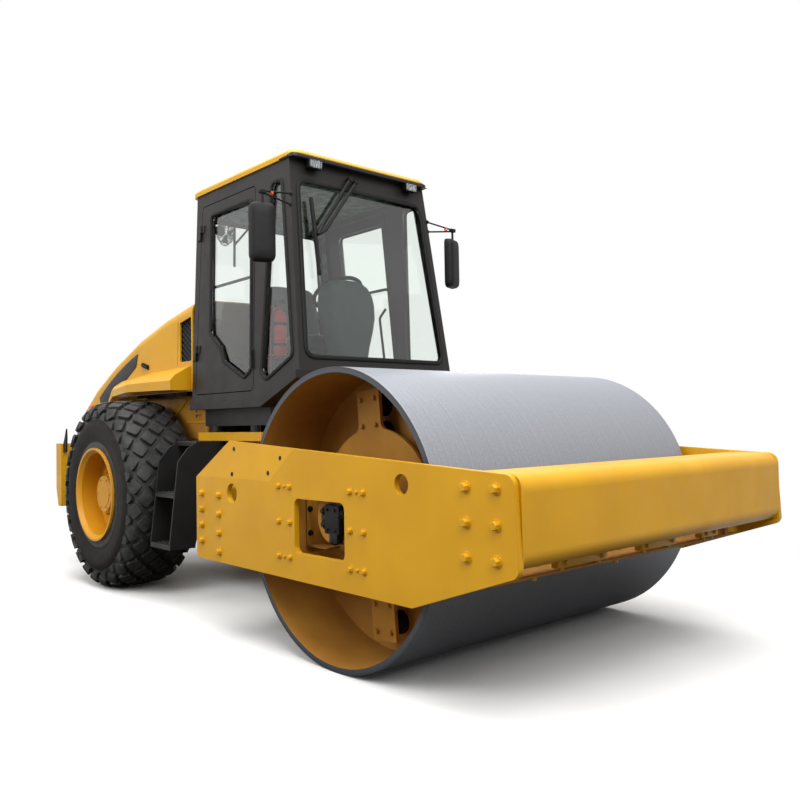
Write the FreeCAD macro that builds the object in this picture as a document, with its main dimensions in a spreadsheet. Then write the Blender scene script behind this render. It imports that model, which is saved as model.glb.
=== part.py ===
import FreeCAD, Part

import math
import os
import re
from types import SimpleNamespace

import Sketcher
from FreeCAD import Placement, Rotation, Vector

# Single-drum road roller, in millimetres and degrees.
# +X runs forward to the drum, +Y to the machine's left, +Z up from the ground.
# The origin lies on the ground under the middle of the whole length.

SIZES = (
    # name, value
    ("pivot_back", 1500),
    ("axle_back", 1500),
    ("front_overhang", 1270),
    ("rear_overhang", 1500),
    ("pivot_height", 700),
    ("running_gap", 0.3),

    ("drum_radius", 761.5),
    ("drum_width", 2130),
    ("drum_wall", 30),
    ("drum_gap", 55),
    ("head_recess", 405),
    ("head_wall", 30),
    ("head_bore", 120),
    ("drive_recess", 285),
    ("drive_wall", 20),
    ("drive_hub", 450),
    ("drive_neck", 45),
    ("drive_arm_width", 180),
    ("drive_arm_gap", 76.5),
    ("drive_tilt", 5),
    ("buffer_radius", 62),
    ("buffer_gap", 94.5),
    ("buffer_spacing", 150),

    ("plate_wall", 30),
    ("plate_corner", 45),
    ("plate_back", 1250),
    ("plate_heel", 445),
    ("plate_toe_ahead", 670),
    ("plate_toe", 434),
    ("plate_chin", 640),
    ("plate_brow", 1028),
    ("plate_shoulder_back", 890),
    ("plate_shoulder", 1150),
    ("plate_tail", 930),
    ("window_back", 210),
    ("window_front", 205),
    ("window_low", 580),
    ("window_high", 857),
    ("window_corner", 35),
    ("panel_foot", 936),
    ("panel_lean", 22),
    ("panel_foot_back", 445),
    ("panel_top_back", 160),
    ("rear_eye_back", 832),
    ("rear_eye_height", 851),
    ("rear_eye_radius", 55),
    ("front_eye_ahead", 613),
    ("front_eye_height", 964),
    ("front_eye_radius", 46),

    ("beam_back", 985),
    ("beam_low", 655),
    ("beam_high", 1030),
    ("beam_corner", 70),
    ("cross_back", 1225),
    ("cross_face", 930),
    ("cross_low", 470),
    ("cross_high", 890),
    ("cross_corner", 25),
    ("scraper_gap", 12),
    ("scraper_wall", 12),
    ("scraper_short", 25),
    ("scraper_drop", 95),
    ("bracket_wall", 40),
    ("bracket_length", 60),
    ("bracket_spread", 630),

    ("carrier_wall", 20),
    ("carrier_half_length", 260),
    ("carrier_flange", 110),
    ("carrier_half_height", 200),
    ("carrier_depth", 230),
    ("motor_radius", 130),
    ("motor_cap", 60),

    ("shaft_radius", 90),
    ("housing_wall", 60),
    ("housing_ahead", 170),
    ("collar_wall", 18),
    ("hub_radius", 95),
    ("hub_half_height", 140),
    ("pin_radius", 45),
    ("yoke_arm_reach", 330),
    ("yoke_arm_ahead", 60),
    ("yoke_arm_wall", 40),
    ("yoke_arm_width", 110),
    ("eye_radius", 26),
    ("eye_wall", 26),

    ("cylinder_radius", 48),
    ("cylinder_rod_radius", 24),
    ("cylinder_foot_back", 750),
    ("cylinder_foot_reach", 290),
    ("cylinder_gland_back", 254),
    ("rod_inside", 200),
    ("cylinder_pin", 14),
    ("barrel_clear", 12),

    ("ear_radius", 115),
    ("ear_wall", 40),
    ("frame_front_back", 235),
    ("frame_half_width", 420),
    ("rail_wall", 60),
    ("rail_low", 500),
    ("rail_arch", 880),
    ("rail_high", 1120),
    ("rail_tail_low", 620),
    ("rail_arch_half", 420),
    ("rail_arch_slant", 100),
    ("frame_tail", 1350),
    ("cross_wall", 30),
    ("cab_rail_reach", 620),
    ("cab_rail_width", 70),
    ("cab_rail_wall", 60),
    ("cab_rail_front", 860),
    ("cab_rail_rise", 70),
    ("cab_brace_back", 120),
    ("mount_radius", 34),
    ("mount_height", 45),

    ("bumper_half_width", 870),
    ("bumper_high", 1100),
    ("bumper_low", 530),
    ("bumper_knee", 770),
    ("bumper_corner", 30),

    ("tyre_radius", 724),
    ("tyre_inner", 545),
    ("tyre_outer", 1095),
    ("tyre_bulge", 8),
    ("tread_depth", 26),
    ("tread_pitches", 20),
    ("tread_column", 105),
    ("rim_seat", 333),
    ("rim_flange", 358),
    ("rim_wall", 16),
    ("rim_drop", 18),
    ("rim_lip", 12),
    ("dish_plane", 925),
    ("dish_wall", 20),
    ("hub_cap_plane", 1018),
    ("hub_cap_radius", 140),
    ("axle_end", 640),
    ("axle_tube", 95),
    ("axle_ball", 210),
    ("axle_ball_half", 150),
    ("axle_flange", 155),
    ("axle_flange_wall", 40),
    ("axle_pad", 130),
    ("nose_radius", 90),
    ("nose_length", 330),

    ("cab_ahead_of_axle", 785),
    ("cab_height", 1550),
    ("cab_half_low", 670),
    ("cab_half_high", 588),
    ("cab_length", 1365),
    ("cab_chamfer_start", 945),
    ("cab_nose_rise", 170),
    ("cab_front_lean", 189),
    ("cab_rear_lean", 38),
    ("cab_wall", 42),
    ("glass_wall", 8),
    ("ledge_wall", 50),
    ("ledge_reach", 18),
    ("base_drop", 170),
    ("base_inset", 70),
    ("roof_wall", 40),
    ("cap_wall", 52),
    ("cap_front", 52),
    ("cap_rear", 77),
    ("cap_side", 12),
    ("cap_corner", 80),
    ("cap_round", 22),

    ("door_rear", 45),
    ("door_sill", 57),
    ("door_head", 93),
    ("door_front_low", 845),
    ("door_front_high", 785),
    ("door_gap", 6),
    ("hinge_reach", 13),
    ("hinge_radius", 10),
    ("hinge_height", 55),
    ("hinge_leaf", 45),
    ("glazing_corner", 40),

    ("screen_sill", 252),
    ("screen_head", 140),
    ("screen_margin", 58),
    ("rear_window_sill", 345),
    ("rear_window_head", 165),
    ("rear_window_margin", 102),

    ("hood_half_width", 620),
    ("hood_wall", 14),
    ("hood_shoulder", 95),
    ("hood_gap", 80),
    ("hood_low", 1500),
    ("hood_skirt_rise", 25),
    ("hood_tail_high", 1425),
    ("hood_step", 60),
    ("hood_bow", 12),
    ("hood_tail_drop", 1420),
    ("hood_tail_gap", 30),
    ("hood_pin_inset", 40),
    ("hood_pin_rise", 45),
    ("hood_pin_radius", 12),
    ("lug_radius", 24),
    ("lug_wall", 20),
    ("louvre_rear", 205),
    ("louvre_front", 20),
    ("louvre_low", 1730),
    ("louvre_high", 2030),
    ("louvre_slope", 35),
    ("slat_wall", 8),
    ("slat_pitch", 42),
    ("slat_depth", 16),
    ("slat_angle", 35),
    ("slat_tilt", 40),
    ("grille_rim", 12),
    ("grille_half", 430),
    ("grille_sill", 67),
    ("grille_tall", 160),
    ("marker_back", 1990),
    ("marker_height", 1425),
    ("marker_length", 70),
    ("marker_tall", 42),
    ("marker_deep", 22),
    ("fender_front", 30),
    ("fender_shoulder", 0.22),

    ("engine_length", 950),
    ("engine_width", 780),
    ("engine_height", 560),
    ("engine_tail", 790),
    ("tank_gap", 5),
    ("tank_reach", 500),
    ("tank_front", 10),
    ("tank_rear", 1380),
    ("tank_under_hood", 20),
    ("tank_corner", 25),
    ("tank_slot_length", 90),
    ("tank_slot_deep", 12),
    ("tank_slot_pitch", 22),
    ("tank_slot_inset", 90),

    ("step_rear", 800),
    ("step_length", 300),
    ("step_inner", 640),
    ("step_bar", 90),
    ("step_wall", 12),
    ("tread_wall", 30),

    ("mirror_ahead", 155),
    ("mirror_reach", 833),
    ("mirror_below_roof", 530),
    ("mirror_width", 165),
    ("mirror_tall", 370),
    ("mirror_deep", 60),
    ("mirror_corner", 42),
    ("mirror_arm_rise", 60),
    ("mirror_arm_spread", 35),
    ("arm_radius", 9),

    ("lamp_reach", 422),
    ("lamp_width", 110),
    ("lamp_height", 62),
    ("lamp_deep", 60),

    ("seat_ahead", 330),
    ("seat_width", 500),
    ("seat_length", 500),
    ("seat_rise", 475),
    ("seat_cushion", 130),
    ("seat_round", 30),
    ("seat_slope", 10),
    ("backrest_rise", 1035),
    ("backrest_wall", 130),
    ("backrest_lean", 100),
    ("backrest_inset", 20),
    ("pedestal_inset", 60),
    ("wheel_ahead", 935),
    ("wheel_rise", 745),
    ("wheel_radius", 195),
    ("wheel_rim", 15),
    ("wheel_facets", 24),
    ("wheel_tilt", 30),
    ("spoke_radius", 9),
    ("wheel_boss", 38),
    ("column_width", 190),
    ("column_radius", 28),
    ("column_drop", 150),
    ("stand_depth", 130),
    ("stand_gap", 60),
    ("stand_rise", 60),
    ("stand_corner", 12),
)

doc = FreeCAD.newDocument("road_roller")
sheet = doc.addObject("Spreadsheet::Sheet", "Sizes")
for row, (alias, value) in enumerate(SIZES, 1):
    sheet.set(f"A{row}", alias)
    sheet.set(f"B{row}", str(value))
    sheet.setAlias(f"B{row}", alias)
doc.recompute()
size = {alias: float(value) for alias, value in SIZES}
s = SimpleNamespace(**size)
NODES = []

# Stations along the machine, as expressions for the bound objects
WHEELBASE = "(pivot_back + axle_back)"
DRUM_X = f"(({WHEELBASE} + rear_overhang - front_overhang) / 2)"
AXLE_X = f"({DRUM_X} - {WHEELBASE})"
PIVOT_X = f"({DRUM_X} - pivot_back)"
CAB_X = f"({AXLE_X} + cab_ahead_of_axle)"
AXLE_Z = "tyre_radius"
PLATE_IN = "(drum_width / 2 + drum_gap)"

# The same stations as numbers for the shapes that are worked out here
wheelbase = s.pivot_back + s.axle_back
drum_x = (wheelbase + s.rear_overhang - s.front_overhang) / 2
axle_x = drum_x - wheelbase
pivot_x = drum_x - s.pivot_back
cab_x = axle_x + s.cab_ahead_of_axle
tail_x = axle_x - s.rear_overhang

plate_face = s.drum_width / 2 + s.drum_gap

cab_low = s.rail_high + s.cab_rail_rise + s.mount_height + s.base_drop
cab_high = cab_low + s.cab_height
cab_nose_low = cab_low + s.cab_nose_rise
door_low, door_high = cab_low + s.door_sill, cab_high - s.door_head

hood_front = cab_x - s.hood_gap
hood_tail_low = s.rail_high + s.hood_skirt_rise
hood_pin_x = tail_x + s.hood_tail_gap + s.hood_pin_inset
hood_pin_z = s.rail_high + s.hood_pin_rise

SIDES = (("right", -1), ("left", 1))


def bound(text):
    """Point each size named in an expression at its cell."""
    return re.sub(r"[a-z_]+", lambda word: "Sizes." + word[0] if word[0] in size else word[0], text)


def bind(item, **expressions):
    for name, text in expressions.items():
        item.setExpression(name, bound(text))
    return item


def place(item, x="0", y="0", z="0"):
    for axis, text in (("x", x), ("y", y), ("z", z)):
        item.setExpression(f"Placement.Base.{axis}", bound(text))
    return item


def new_body(label):
    body = doc.addObject("PartDesign::Body", label)
    body.Label = label
    NODES.append(body)
    return body


def sketch_on(body, role, offset="0"):
    sketch = body.newObject("Sketcher::SketchObject", f"{body.Name}_sketch")
    plane = next(item for item in body.Origin.OriginFeatures if item.Role == role)
    sketch.AttachmentSupport = [(plane, "")]
    sketch.MapMode = "FlatFace"
    sketch.setExpression("AttachmentOffset.Base.z", bound(offset))
    return sketch


def polygon(body, role, corners, offset="0"):
    """A closed sketch whose corners are pairs of expressions."""
    sketch = sketch_on(body, role, offset)
    count = len(corners)
    start = [Vector(100 * math.cos(2 * math.pi * i / count), 100 * math.sin(2 * math.pi * i / count), 0)
             for i in range(count)]
    for i in range(count):
        sketch.addGeometry(Part.LineSegment(start[i], start[(i + 1) % count]), False)
    for i in range(count):
        sketch.addConstraint(Sketcher.Constraint("Coincident", i, 2, (i + 1) % count, 1))
    for i, (across, up) in enumerate(corners):
        for letter, kind, text, value in (("u", "DistanceX", across, start[i].x),
                                          ("v", "DistanceY", up, start[i].y)):
            index = sketch.addConstraint(Sketcher.Constraint(kind, i, 1, value))
            sketch.renameConstraint(index, f"{letter}{i}")
            sketch.setExpression(f"Constraints.{letter}{i}", bound(text))
    return sketch


def circles(body, role, rings, offset="0"):
    """A sketch of circles, each given as across, up and radius."""
    sketch = sketch_on(body, role, offset)
    for i, (across, up, radius) in enumerate(rings):
        sketch.addGeometry(Part.Circle(Vector(10 * i + 10, 10, 0), Vector(0, 0, 1), 5), False)
        for letter, kind, text, value in (("u", "DistanceX", across, 10 * i + 10),
                                          ("v", "DistanceY", up, 10)):
            index = sketch.addConstraint(Sketcher.Constraint(kind, i, 3, value))
            sketch.renameConstraint(index, f"{letter}{i}")
            sketch.setExpression(f"Constraints.{letter}{i}", bound(text))
        index = sketch.addConstraint(Sketcher.Constraint("Radius", i, 5))
        sketch.renameConstraint(index, f"radius{i}")
        sketch.setExpression(f"Constraints.radius{i}", bound(radius))
    return sketch


def pad(body, sketch, length):
    feature = body.newObject("PartDesign::Pad", f"{body.Name}_pad")
    feature.Profile = sketch
    bind(feature, Length=length)
    body.Tip = feature
    doc.recompute()
    return feature


def cut_through(body, sketch):
    """Cut a sketch through the whole body, both ways from its plane."""
    before = body.Shape.Volume
    feature = body.newObject("PartDesign::Pocket", f"{body.Name}_cut")
    feature.Profile = sketch
    feature.Type = "ThroughAll"
    feature.SideType = "Symmetric"
    body.Tip = feature
    doc.recompute()
    if not body.Shape.Volume < before:
        raise RuntimeError(f"{feature.Label} cuts nothing")
    return feature


def revolve(body, sketch, axis="H_Axis"):
    feature = body.newObject("PartDesign::Revolution", f"{body.Name}_turned")
    feature.Profile = sketch
    feature.ReferenceAxis = (sketch, [axis])
    feature.Angle = 360
    body.Tip = feature
    doc.recompute()
    return feature


def round_edges(body, radius, chosen):
    """Fillet the edges of the body's last feature that the test picks."""
    base = body.Tip
    names = [f"Edge{i}" for i, edge in enumerate(base.Shape.Edges, 1) if chosen(edge)]
    feature = body.newObject("PartDesign::Fillet", f"{body.Name}_round")
    feature.Base = (base, names)
    bind(feature, Radius=radius)
    body.Tip = feature
    doc.recompute()
    return feature


def along(axis):
    """A test for straight edges that run along one axis."""
    def chosen(edge):
        if len(edge.Vertexes) != 2:
            return False
        step = edge.Vertexes[1].Point - edge.Vertexes[0].Point
        return abs(abs(step.dot(axis)) - step.Length) < 1e-6 * max(step.Length, 1)
    return chosen


def rounded_wire(points, radius, into_space):
    """A closed wire through flat points, each corner an arc of the radius."""
    count = len(points)
    radii = radius if isinstance(radius, (list, tuple)) else [radius] * count
    corners = []
    for i, point in enumerate(points):
        here = Vector(point[0], point[1], 0)
        back = Vector(*points[i - 1], 0) - here
        ahead = Vector(*points[(i + 1) % count], 0) - here
        if radii[i] <= 0:
            corners.append((here, None, here))
            continue
        back.normalize()
        ahead.normalize()
        half = back.getAngle(ahead) / 2
        reach = radii[i] / math.tan(half)
        middle = back + ahead
        middle.normalize()
        crown = here + middle * (radii[i] / math.sin(half) - radii[i])
        corners.append((here + back * reach, crown, here + ahead * reach))
    edges = []
    for i, (first, crown, last) in enumerate(corners):
        if crown is not None:
            edges.append(Part.Arc(into_space(first), into_space(crown), into_space(last)).toShape())
        following = corners[(i + 1) % count][0]
        if (following - last).Length > 1e-6:
            edges.append(Part.LineSegment(into_space(last), into_space(following)).toShape())
    return Part.Wire(Part.__sortEdges__(edges))


def prism(plane, points, start, end, radius=0):
    """A straight solid of a rounded outline, from start to end across its plane."""
    turns = {
        "XZ": (lambda p: Vector(p.x, start, p.y), Vector(0, end - start, 0)),
        "YZ": (lambda p: Vector(start, p.x, p.y), Vector(end - start, 0, 0)),
        "XY": (lambda p: Vector(p.x, p.y, start), Vector(0, 0, end - start)),
    }
    into_space, path = turns[plane]
    return Part.Face(rounded_wire(points, radius, into_space)).extrude(path)


def fused(shapes):
    shape = shapes[0].fuse(list(shapes[1:])) if len(shapes) > 1 else shapes[0]
    return shape.removeSplitter()


def rod(first, last, radius):
    step = last - first
    return Part.makeCylinder(radius, step.Length, first, step)


def only_solid(shape):
    return shape.Solids[0] if len(shape.Solids) == 1 else shape


def worked_out(label, shape, x="0", z="0"):
    """A sub-part whose shape is worked out by this script, moved to its station."""
    item = doc.addObject("Part::Feature", label)
    item.Label = label
    item.Shape = only_solid(shape)
    item.Placement = Placement()
    place(item, x=x, z=z)
    NODES.append(item)
    return item


def mirrored(shape):
    return shape.mirror(Vector(0, 0, 0), Vector(0, 1, 0))


def flat(*points):
    return Part.Face(Part.makePolygon(points + points[:1]))


def skin(loops):
    """Flat faces between loops of equally many points; a twisted four-sided one becomes two triangles."""
    faces = []
    for near, far in zip(loops, loops[1:]):
        for i, first in enumerate(near):
            j = (i + 1) % len(near)
            second, third, fourth = near[j], far[j], far[i]
            normal = (second - first).cross(fourth - first)
            if abs(normal.normalize().dot(third - first)) < 1e-4:
                faces.append(flat(first, second, third, fourth))
            else:
                faces += [flat(first, second, third), flat(first, third, fourth)]
    return faces


def flat_ring(outside, inside):
    return Part.Face([Part.makePolygon(loop + loop[:1]) for loop in (outside, inside[::-1])])


def closed_solid(faces):
    shell = Part.makeShell(faces)
    shell.sewShape()
    solid = Part.makeSolid(shell)
    if solid.Volume < 0:
        solid.reverse()
    return solid


# Front frame: two side plates, the front beam, the rear cross beam and the scrapers

PLATE_OUTLINE = (
    # across, up
    ("-plate_back", "plate_heel"),
    ("plate_toe_ahead", "plate_toe"),
    ("front_overhang", "plate_chin"),
    ("front_overhang - 20", "plate_brow"),
    ("-plate_shoulder_back", "plate_shoulder"),
    ("-plate_back", "plate_tail"),
)


def side_plate(name, sign):
    """A plate with its window and eyes, its rear shoulder leaning in as a panel."""
    body = new_body(f"side_plate_blank_{name}")
    NODES.remove(body)
    offset = PLATE_IN if sign < 0 else f"-{PLATE_IN} - plate_wall"
    pad(body, polygon(body, "XZ_Plane", PLATE_OUTLINE, offset), "plate_wall")
    round_edges(body, "plate_corner", lambda edge: along(Vector(0, 1, 0))(edge) and rounded_corner(edge))
    window = (("-window_back", "window_low"), ("window_front", "window_low"),
              ("window_front", "window_high"), ("-window_back", "window_high"))
    cut_through(body, polygon(body, "XZ_Plane", window, offset))
    round_edges(body, "window_corner", lambda edge: along(Vector(0, 1, 0))(edge) and in_window(edge))
    eyes = (("-rear_eye_back", "rear_eye_height", "rear_eye_radius"),
            ("front_eye_ahead", "front_eye_height", "front_eye_radius"))
    cut_through(body, circles(body, "XZ_Plane", eyes, offset))

    # The wedge grows from nothing at the panel's foot to the panel's lean at the plate's shoulder
    wedge = doc.addObject("Part::Wedge", f"side_plate_wedge_{name}")
    bind(wedge, Xmin="-plate_back - plate_wall", Xmax="-panel_foot_back", X2min="-plate_back - plate_wall",
         X2max="-panel_top_back", Ymin="panel_foot", Ymax="plate_shoulder",
         Zmin="0" if sign < 0 else "-plate_wall", Zmax="plate_wall" if sign < 0 else "0",
         Z2min="-panel_lean" if sign < 0 else "-plate_wall", Z2max="plate_wall" if sign < 0 else "panel_lean")
    wedge.Placement.Rotation = Rotation(Vector(1, 0, 0), 90)
    place(wedge, y=f"-({PLATE_IN} + plate_wall)" if sign < 0 else f"{PLATE_IN} + plate_wall")
    plate = doc.addObject("Part::Cut", f"side_plate_{name}")
    plate.Label = f"side_plate_{name}"
    plate.Base, plate.Tool = body, wedge
    place(plate, x=DRUM_X)
    NODES.append(plate)


def rounded_corner(edge):
    """The plate's front corners and its low rear corner."""
    spot = edge.Vertexes[0].Point
    return spot.x > s.plate_toe_ahead + 1 or spot.z < s.plate_heel + 1 and spot.x < 0


def in_window(edge):
    spot = edge.Vertexes[0].Point
    return abs(spot.x) < s.window_back + 1 and s.window_low - 1 < spot.z < s.window_high + 1


for name, sign in SIDES:
    side_plate(name, sign)


beam = new_body("front_beam")
place(beam, x=DRUM_X)
beam_outline = (("beam_back", "beam_low"), ("front_overhang", "beam_low"),
                ("front_overhang", "beam_high"), ("beam_back", "beam_high"))
pad(beam, polygon(beam, "XZ_Plane", beam_outline, f"-{PLATE_IN}"), f"2 * {PLATE_IN}")
round_edges(beam, "beam_corner", lambda edge: along(Vector(0, 1, 0))(edge)
            and edge.Vertexes[0].Point.x > s.beam_back + 1)

cross = new_body("cross_beam")
place(cross, x=DRUM_X)
cross_outline = (("-cross_back", "cross_low"), ("-cross_face", "cross_low"),
                 ("-cross_face", "cross_high"), ("-cross_back", "cross_high"))
pad(cross, polygon(cross, "XZ_Plane", cross_outline, f"-{PLATE_IN}"), f"2 * {PLATE_IN}")
round_edges(cross, "cross_corner", along(Vector(0, 1, 0)))
housing = circles(cross, "YZ_Plane", (("0", "pivot_height", "shaft_radius + running_gap + housing_wall"),
                                      ("0", "pivot_height", "shaft_radius + running_gap")),
                  "housing_ahead - pivot_back")
pad(cross, housing, "pivot_back - housing_ahead - cross_back")


def scraper(toward):
    """A blade beside the drum with its brackets, ahead of it or behind."""
    blade_z = s.beam_low - s.scraper_drop
    near = math.sqrt((s.drum_radius + s.scraper_gap) ** 2 - (s.drum_radius - blade_z) ** 2)
    back = s.beam_back + s.bracket_length if toward > 0 else s.cross_face
    half = s.drum_width / 2 - s.scraper_short
    blade = Part.makeBox(back - near, 2 * half, s.scraper_wall, Vector(near, -half, blade_z))
    if toward < 0:
        return blade.mirror(Vector(0, 0, 0), Vector(1, 0, 0))
    parts = [blade]
    for place_index in (-1.5, -0.5, 0.5, 1.5):
        middle = place_index * s.bracket_spread
        parts.append(Part.makeBox(s.bracket_length, s.bracket_wall, s.scraper_drop,
                                  Vector(s.beam_back, middle - s.bracket_wall / 2, blade_z)))
    return fused(parts)


worked_out("scrapers", Part.makeCompound([scraper(1), scraper(-1)]), DRUM_X)


def carrier(sign):
    """The bracket inside a side plate that holds the drum's motor or bearing."""
    face = plate_face
    deep = face - s.carrier_depth
    half, wall, flange = s.carrier_half_length, s.carrier_wall, s.carrier_flange
    outline = ((-half - flange, -face), (-half, -face), (-half, -deep - wall), (half, -deep - wall),
               (half, -face), (half + flange, -face), (half + flange, -face + wall),
               (half + wall, -face + wall), (half + wall, -deep), (-half - wall, -deep),
               (-half - wall, -face + wall), (-half - flange, -face + wall))
    bracket = prism("XY", outline, s.drum_radius - s.carrier_half_height,
                    s.drum_radius + s.carrier_half_height)
    end = s.drum_width / 2 - s.drive_recess + s.running_gap if sign < 0 else \
        s.drum_width / 2 - s.head_recess + s.running_gap
    motor = rod(Vector(0, -(face - s.motor_cap), s.drum_radius), Vector(0, -end, s.drum_radius),
                s.motor_radius)
    shape = fused([bracket, motor])
    if sign > 0:
        shape = mirrored(shape)
    return shape


worked_out("drum_carriers", Part.makeCompound([carrier(sign) for name, sign in SIDES]), DRUM_X)

# Drum: the rolled shell with its two heads, the drive plate and its rubber buffers

drum = new_body("drum_shell")
place(drum, x=DRUM_X, z="drum_radius")
half = "drum_width / 2"
inside = "drum_radius - drum_wall"
head = "(drum_width / 2 - head_recess)"
drum_outline = (
    (f"-{half}", "drum_radius"), (half, "drum_radius"), (half, inside), (head, inside),
    (head, "head_bore"), (f"{head} - head_wall", "head_bore"), (f"{head} - head_wall", inside),
    (f"-{head} + head_wall", inside), (f"-{head} + head_wall", "head_bore"), (f"-{head}", "head_bore"),
    (f"-{head}", inside), (f"-{half}", inside))
revolve(drum, polygon(drum, "YZ_Plane", drum_outline))

drive = new_body("drive_plate")
place(drive, x=DRUM_X, z="drum_radius")
drive.Placement.Rotation = Rotation(Vector(0, 1, 0), 1)
bind(drive, **{"Placement.Rotation.Angle": "-drive_tilt"})
drive_face = "drum_width / 2 - drive_recess - drive_wall"
pad(drive, circles(drive, "XZ_Plane", (("0", "0", "drive_hub"),), drive_face), "drive_wall")
arm_end = f"({inside} - drive_arm_gap)"
arm = (("-drive_arm_width / 2", f"-{arm_end}"), ("drive_arm_width / 2", f"-{arm_end}"),
       ("drive_arm_width / 2", arm_end), ("-drive_arm_width / 2", arm_end))
pad(drive, polygon(drive, "XZ_Plane", arm, drive_face), "drive_wall")
round_edges(drive, "drive_neck", lambda edge: along(Vector(0, 1, 0))(edge)
            and abs(edge.Vertexes[0].Point.z) < s.drive_hub)

buffers = new_body("drum_buffers")
place(buffers, x=DRUM_X, z="drum_radius")
buffers.Placement.Rotation = Rotation(Vector(0, 1, 0), 1)
bind(buffers, **{"Placement.Rotation.Angle": "-drive_tilt"})
outer_row = f"({inside} - buffer_radius - buffer_gap)"
inner_row = f"({outer_row} - buffer_spacing)"
rows = (inner_row, outer_row, f"-{inner_row}", f"-{outer_row}")
buffer_discs = circles(buffers, "XZ_Plane", [("0", row, "buffer_radius") for row in rows],
                       "drum_width / 2 - head_recess")
pad(buffers, buffer_discs, "head_recess - drive_recess - drive_wall")

# Centre joint: the yoke turns on the upright pin and carries the front frame on its shaft


def centre_yoke():
    low = s.pivot_height - s.hub_half_height
    hub = Part.makeCylinder(s.hub_radius, 2 * s.hub_half_height, Vector(0, 0, low))
    shaft_end = s.pivot_back - s.cross_back - s.collar_wall / 2
    shaft = rod(Vector(0, 0, s.pivot_height), Vector(shaft_end, 0, s.pivot_height), s.shaft_radius)
    collar_end = s.housing_ahead - s.running_gap
    collar = rod(Vector(collar_end - s.collar_wall, 0, s.pivot_height), Vector(collar_end, 0, s.pivot_height),
                 s.shaft_radius + s.housing_wall / 2)
    reach, ahead, width = s.yoke_arm_reach, s.yoke_arm_ahead, s.yoke_arm_width
    arm = prism("XY", ((ahead - width / 2, -reach), (ahead + width / 2, -reach),
                       (ahead + width / 2, reach), (ahead - width / 2, reach)),
                s.pivot_height - s.yoke_arm_wall / 2, s.pivot_height + s.yoke_arm_wall / 2, width / 3)
    shape = fused([hub, shaft, collar, arm])
    bore = Part.makeCylinder(s.pin_radius + s.running_gap, 4 * s.hub_half_height,
                             Vector(0, 0, low - s.hub_half_height))
    return shape.cut(bore)


worked_out("centre_yoke", centre_yoke(), PIVOT_X)


def cylinder_foot(side):
    """Where a steering cylinder's barrel is held, from the centre joint."""
    return Vector(-s.cylinder_foot_back, side * s.cylinder_foot_reach, cylinder_height)


def cylinder_eye(side):
    """Where a steering cylinder's rod meets the yoke's arm."""
    return Vector(s.yoke_arm_ahead, side * (s.yoke_arm_reach - 2 * s.eye_radius), cylinder_height)


cylinder_height = s.pivot_height + s.yoke_arm_wall / 2 + s.barrel_clear / 2 + s.cylinder_radius

# Rear frame: two arched rails, cross plates, the fork of the centre joint and the cab's rails


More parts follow.
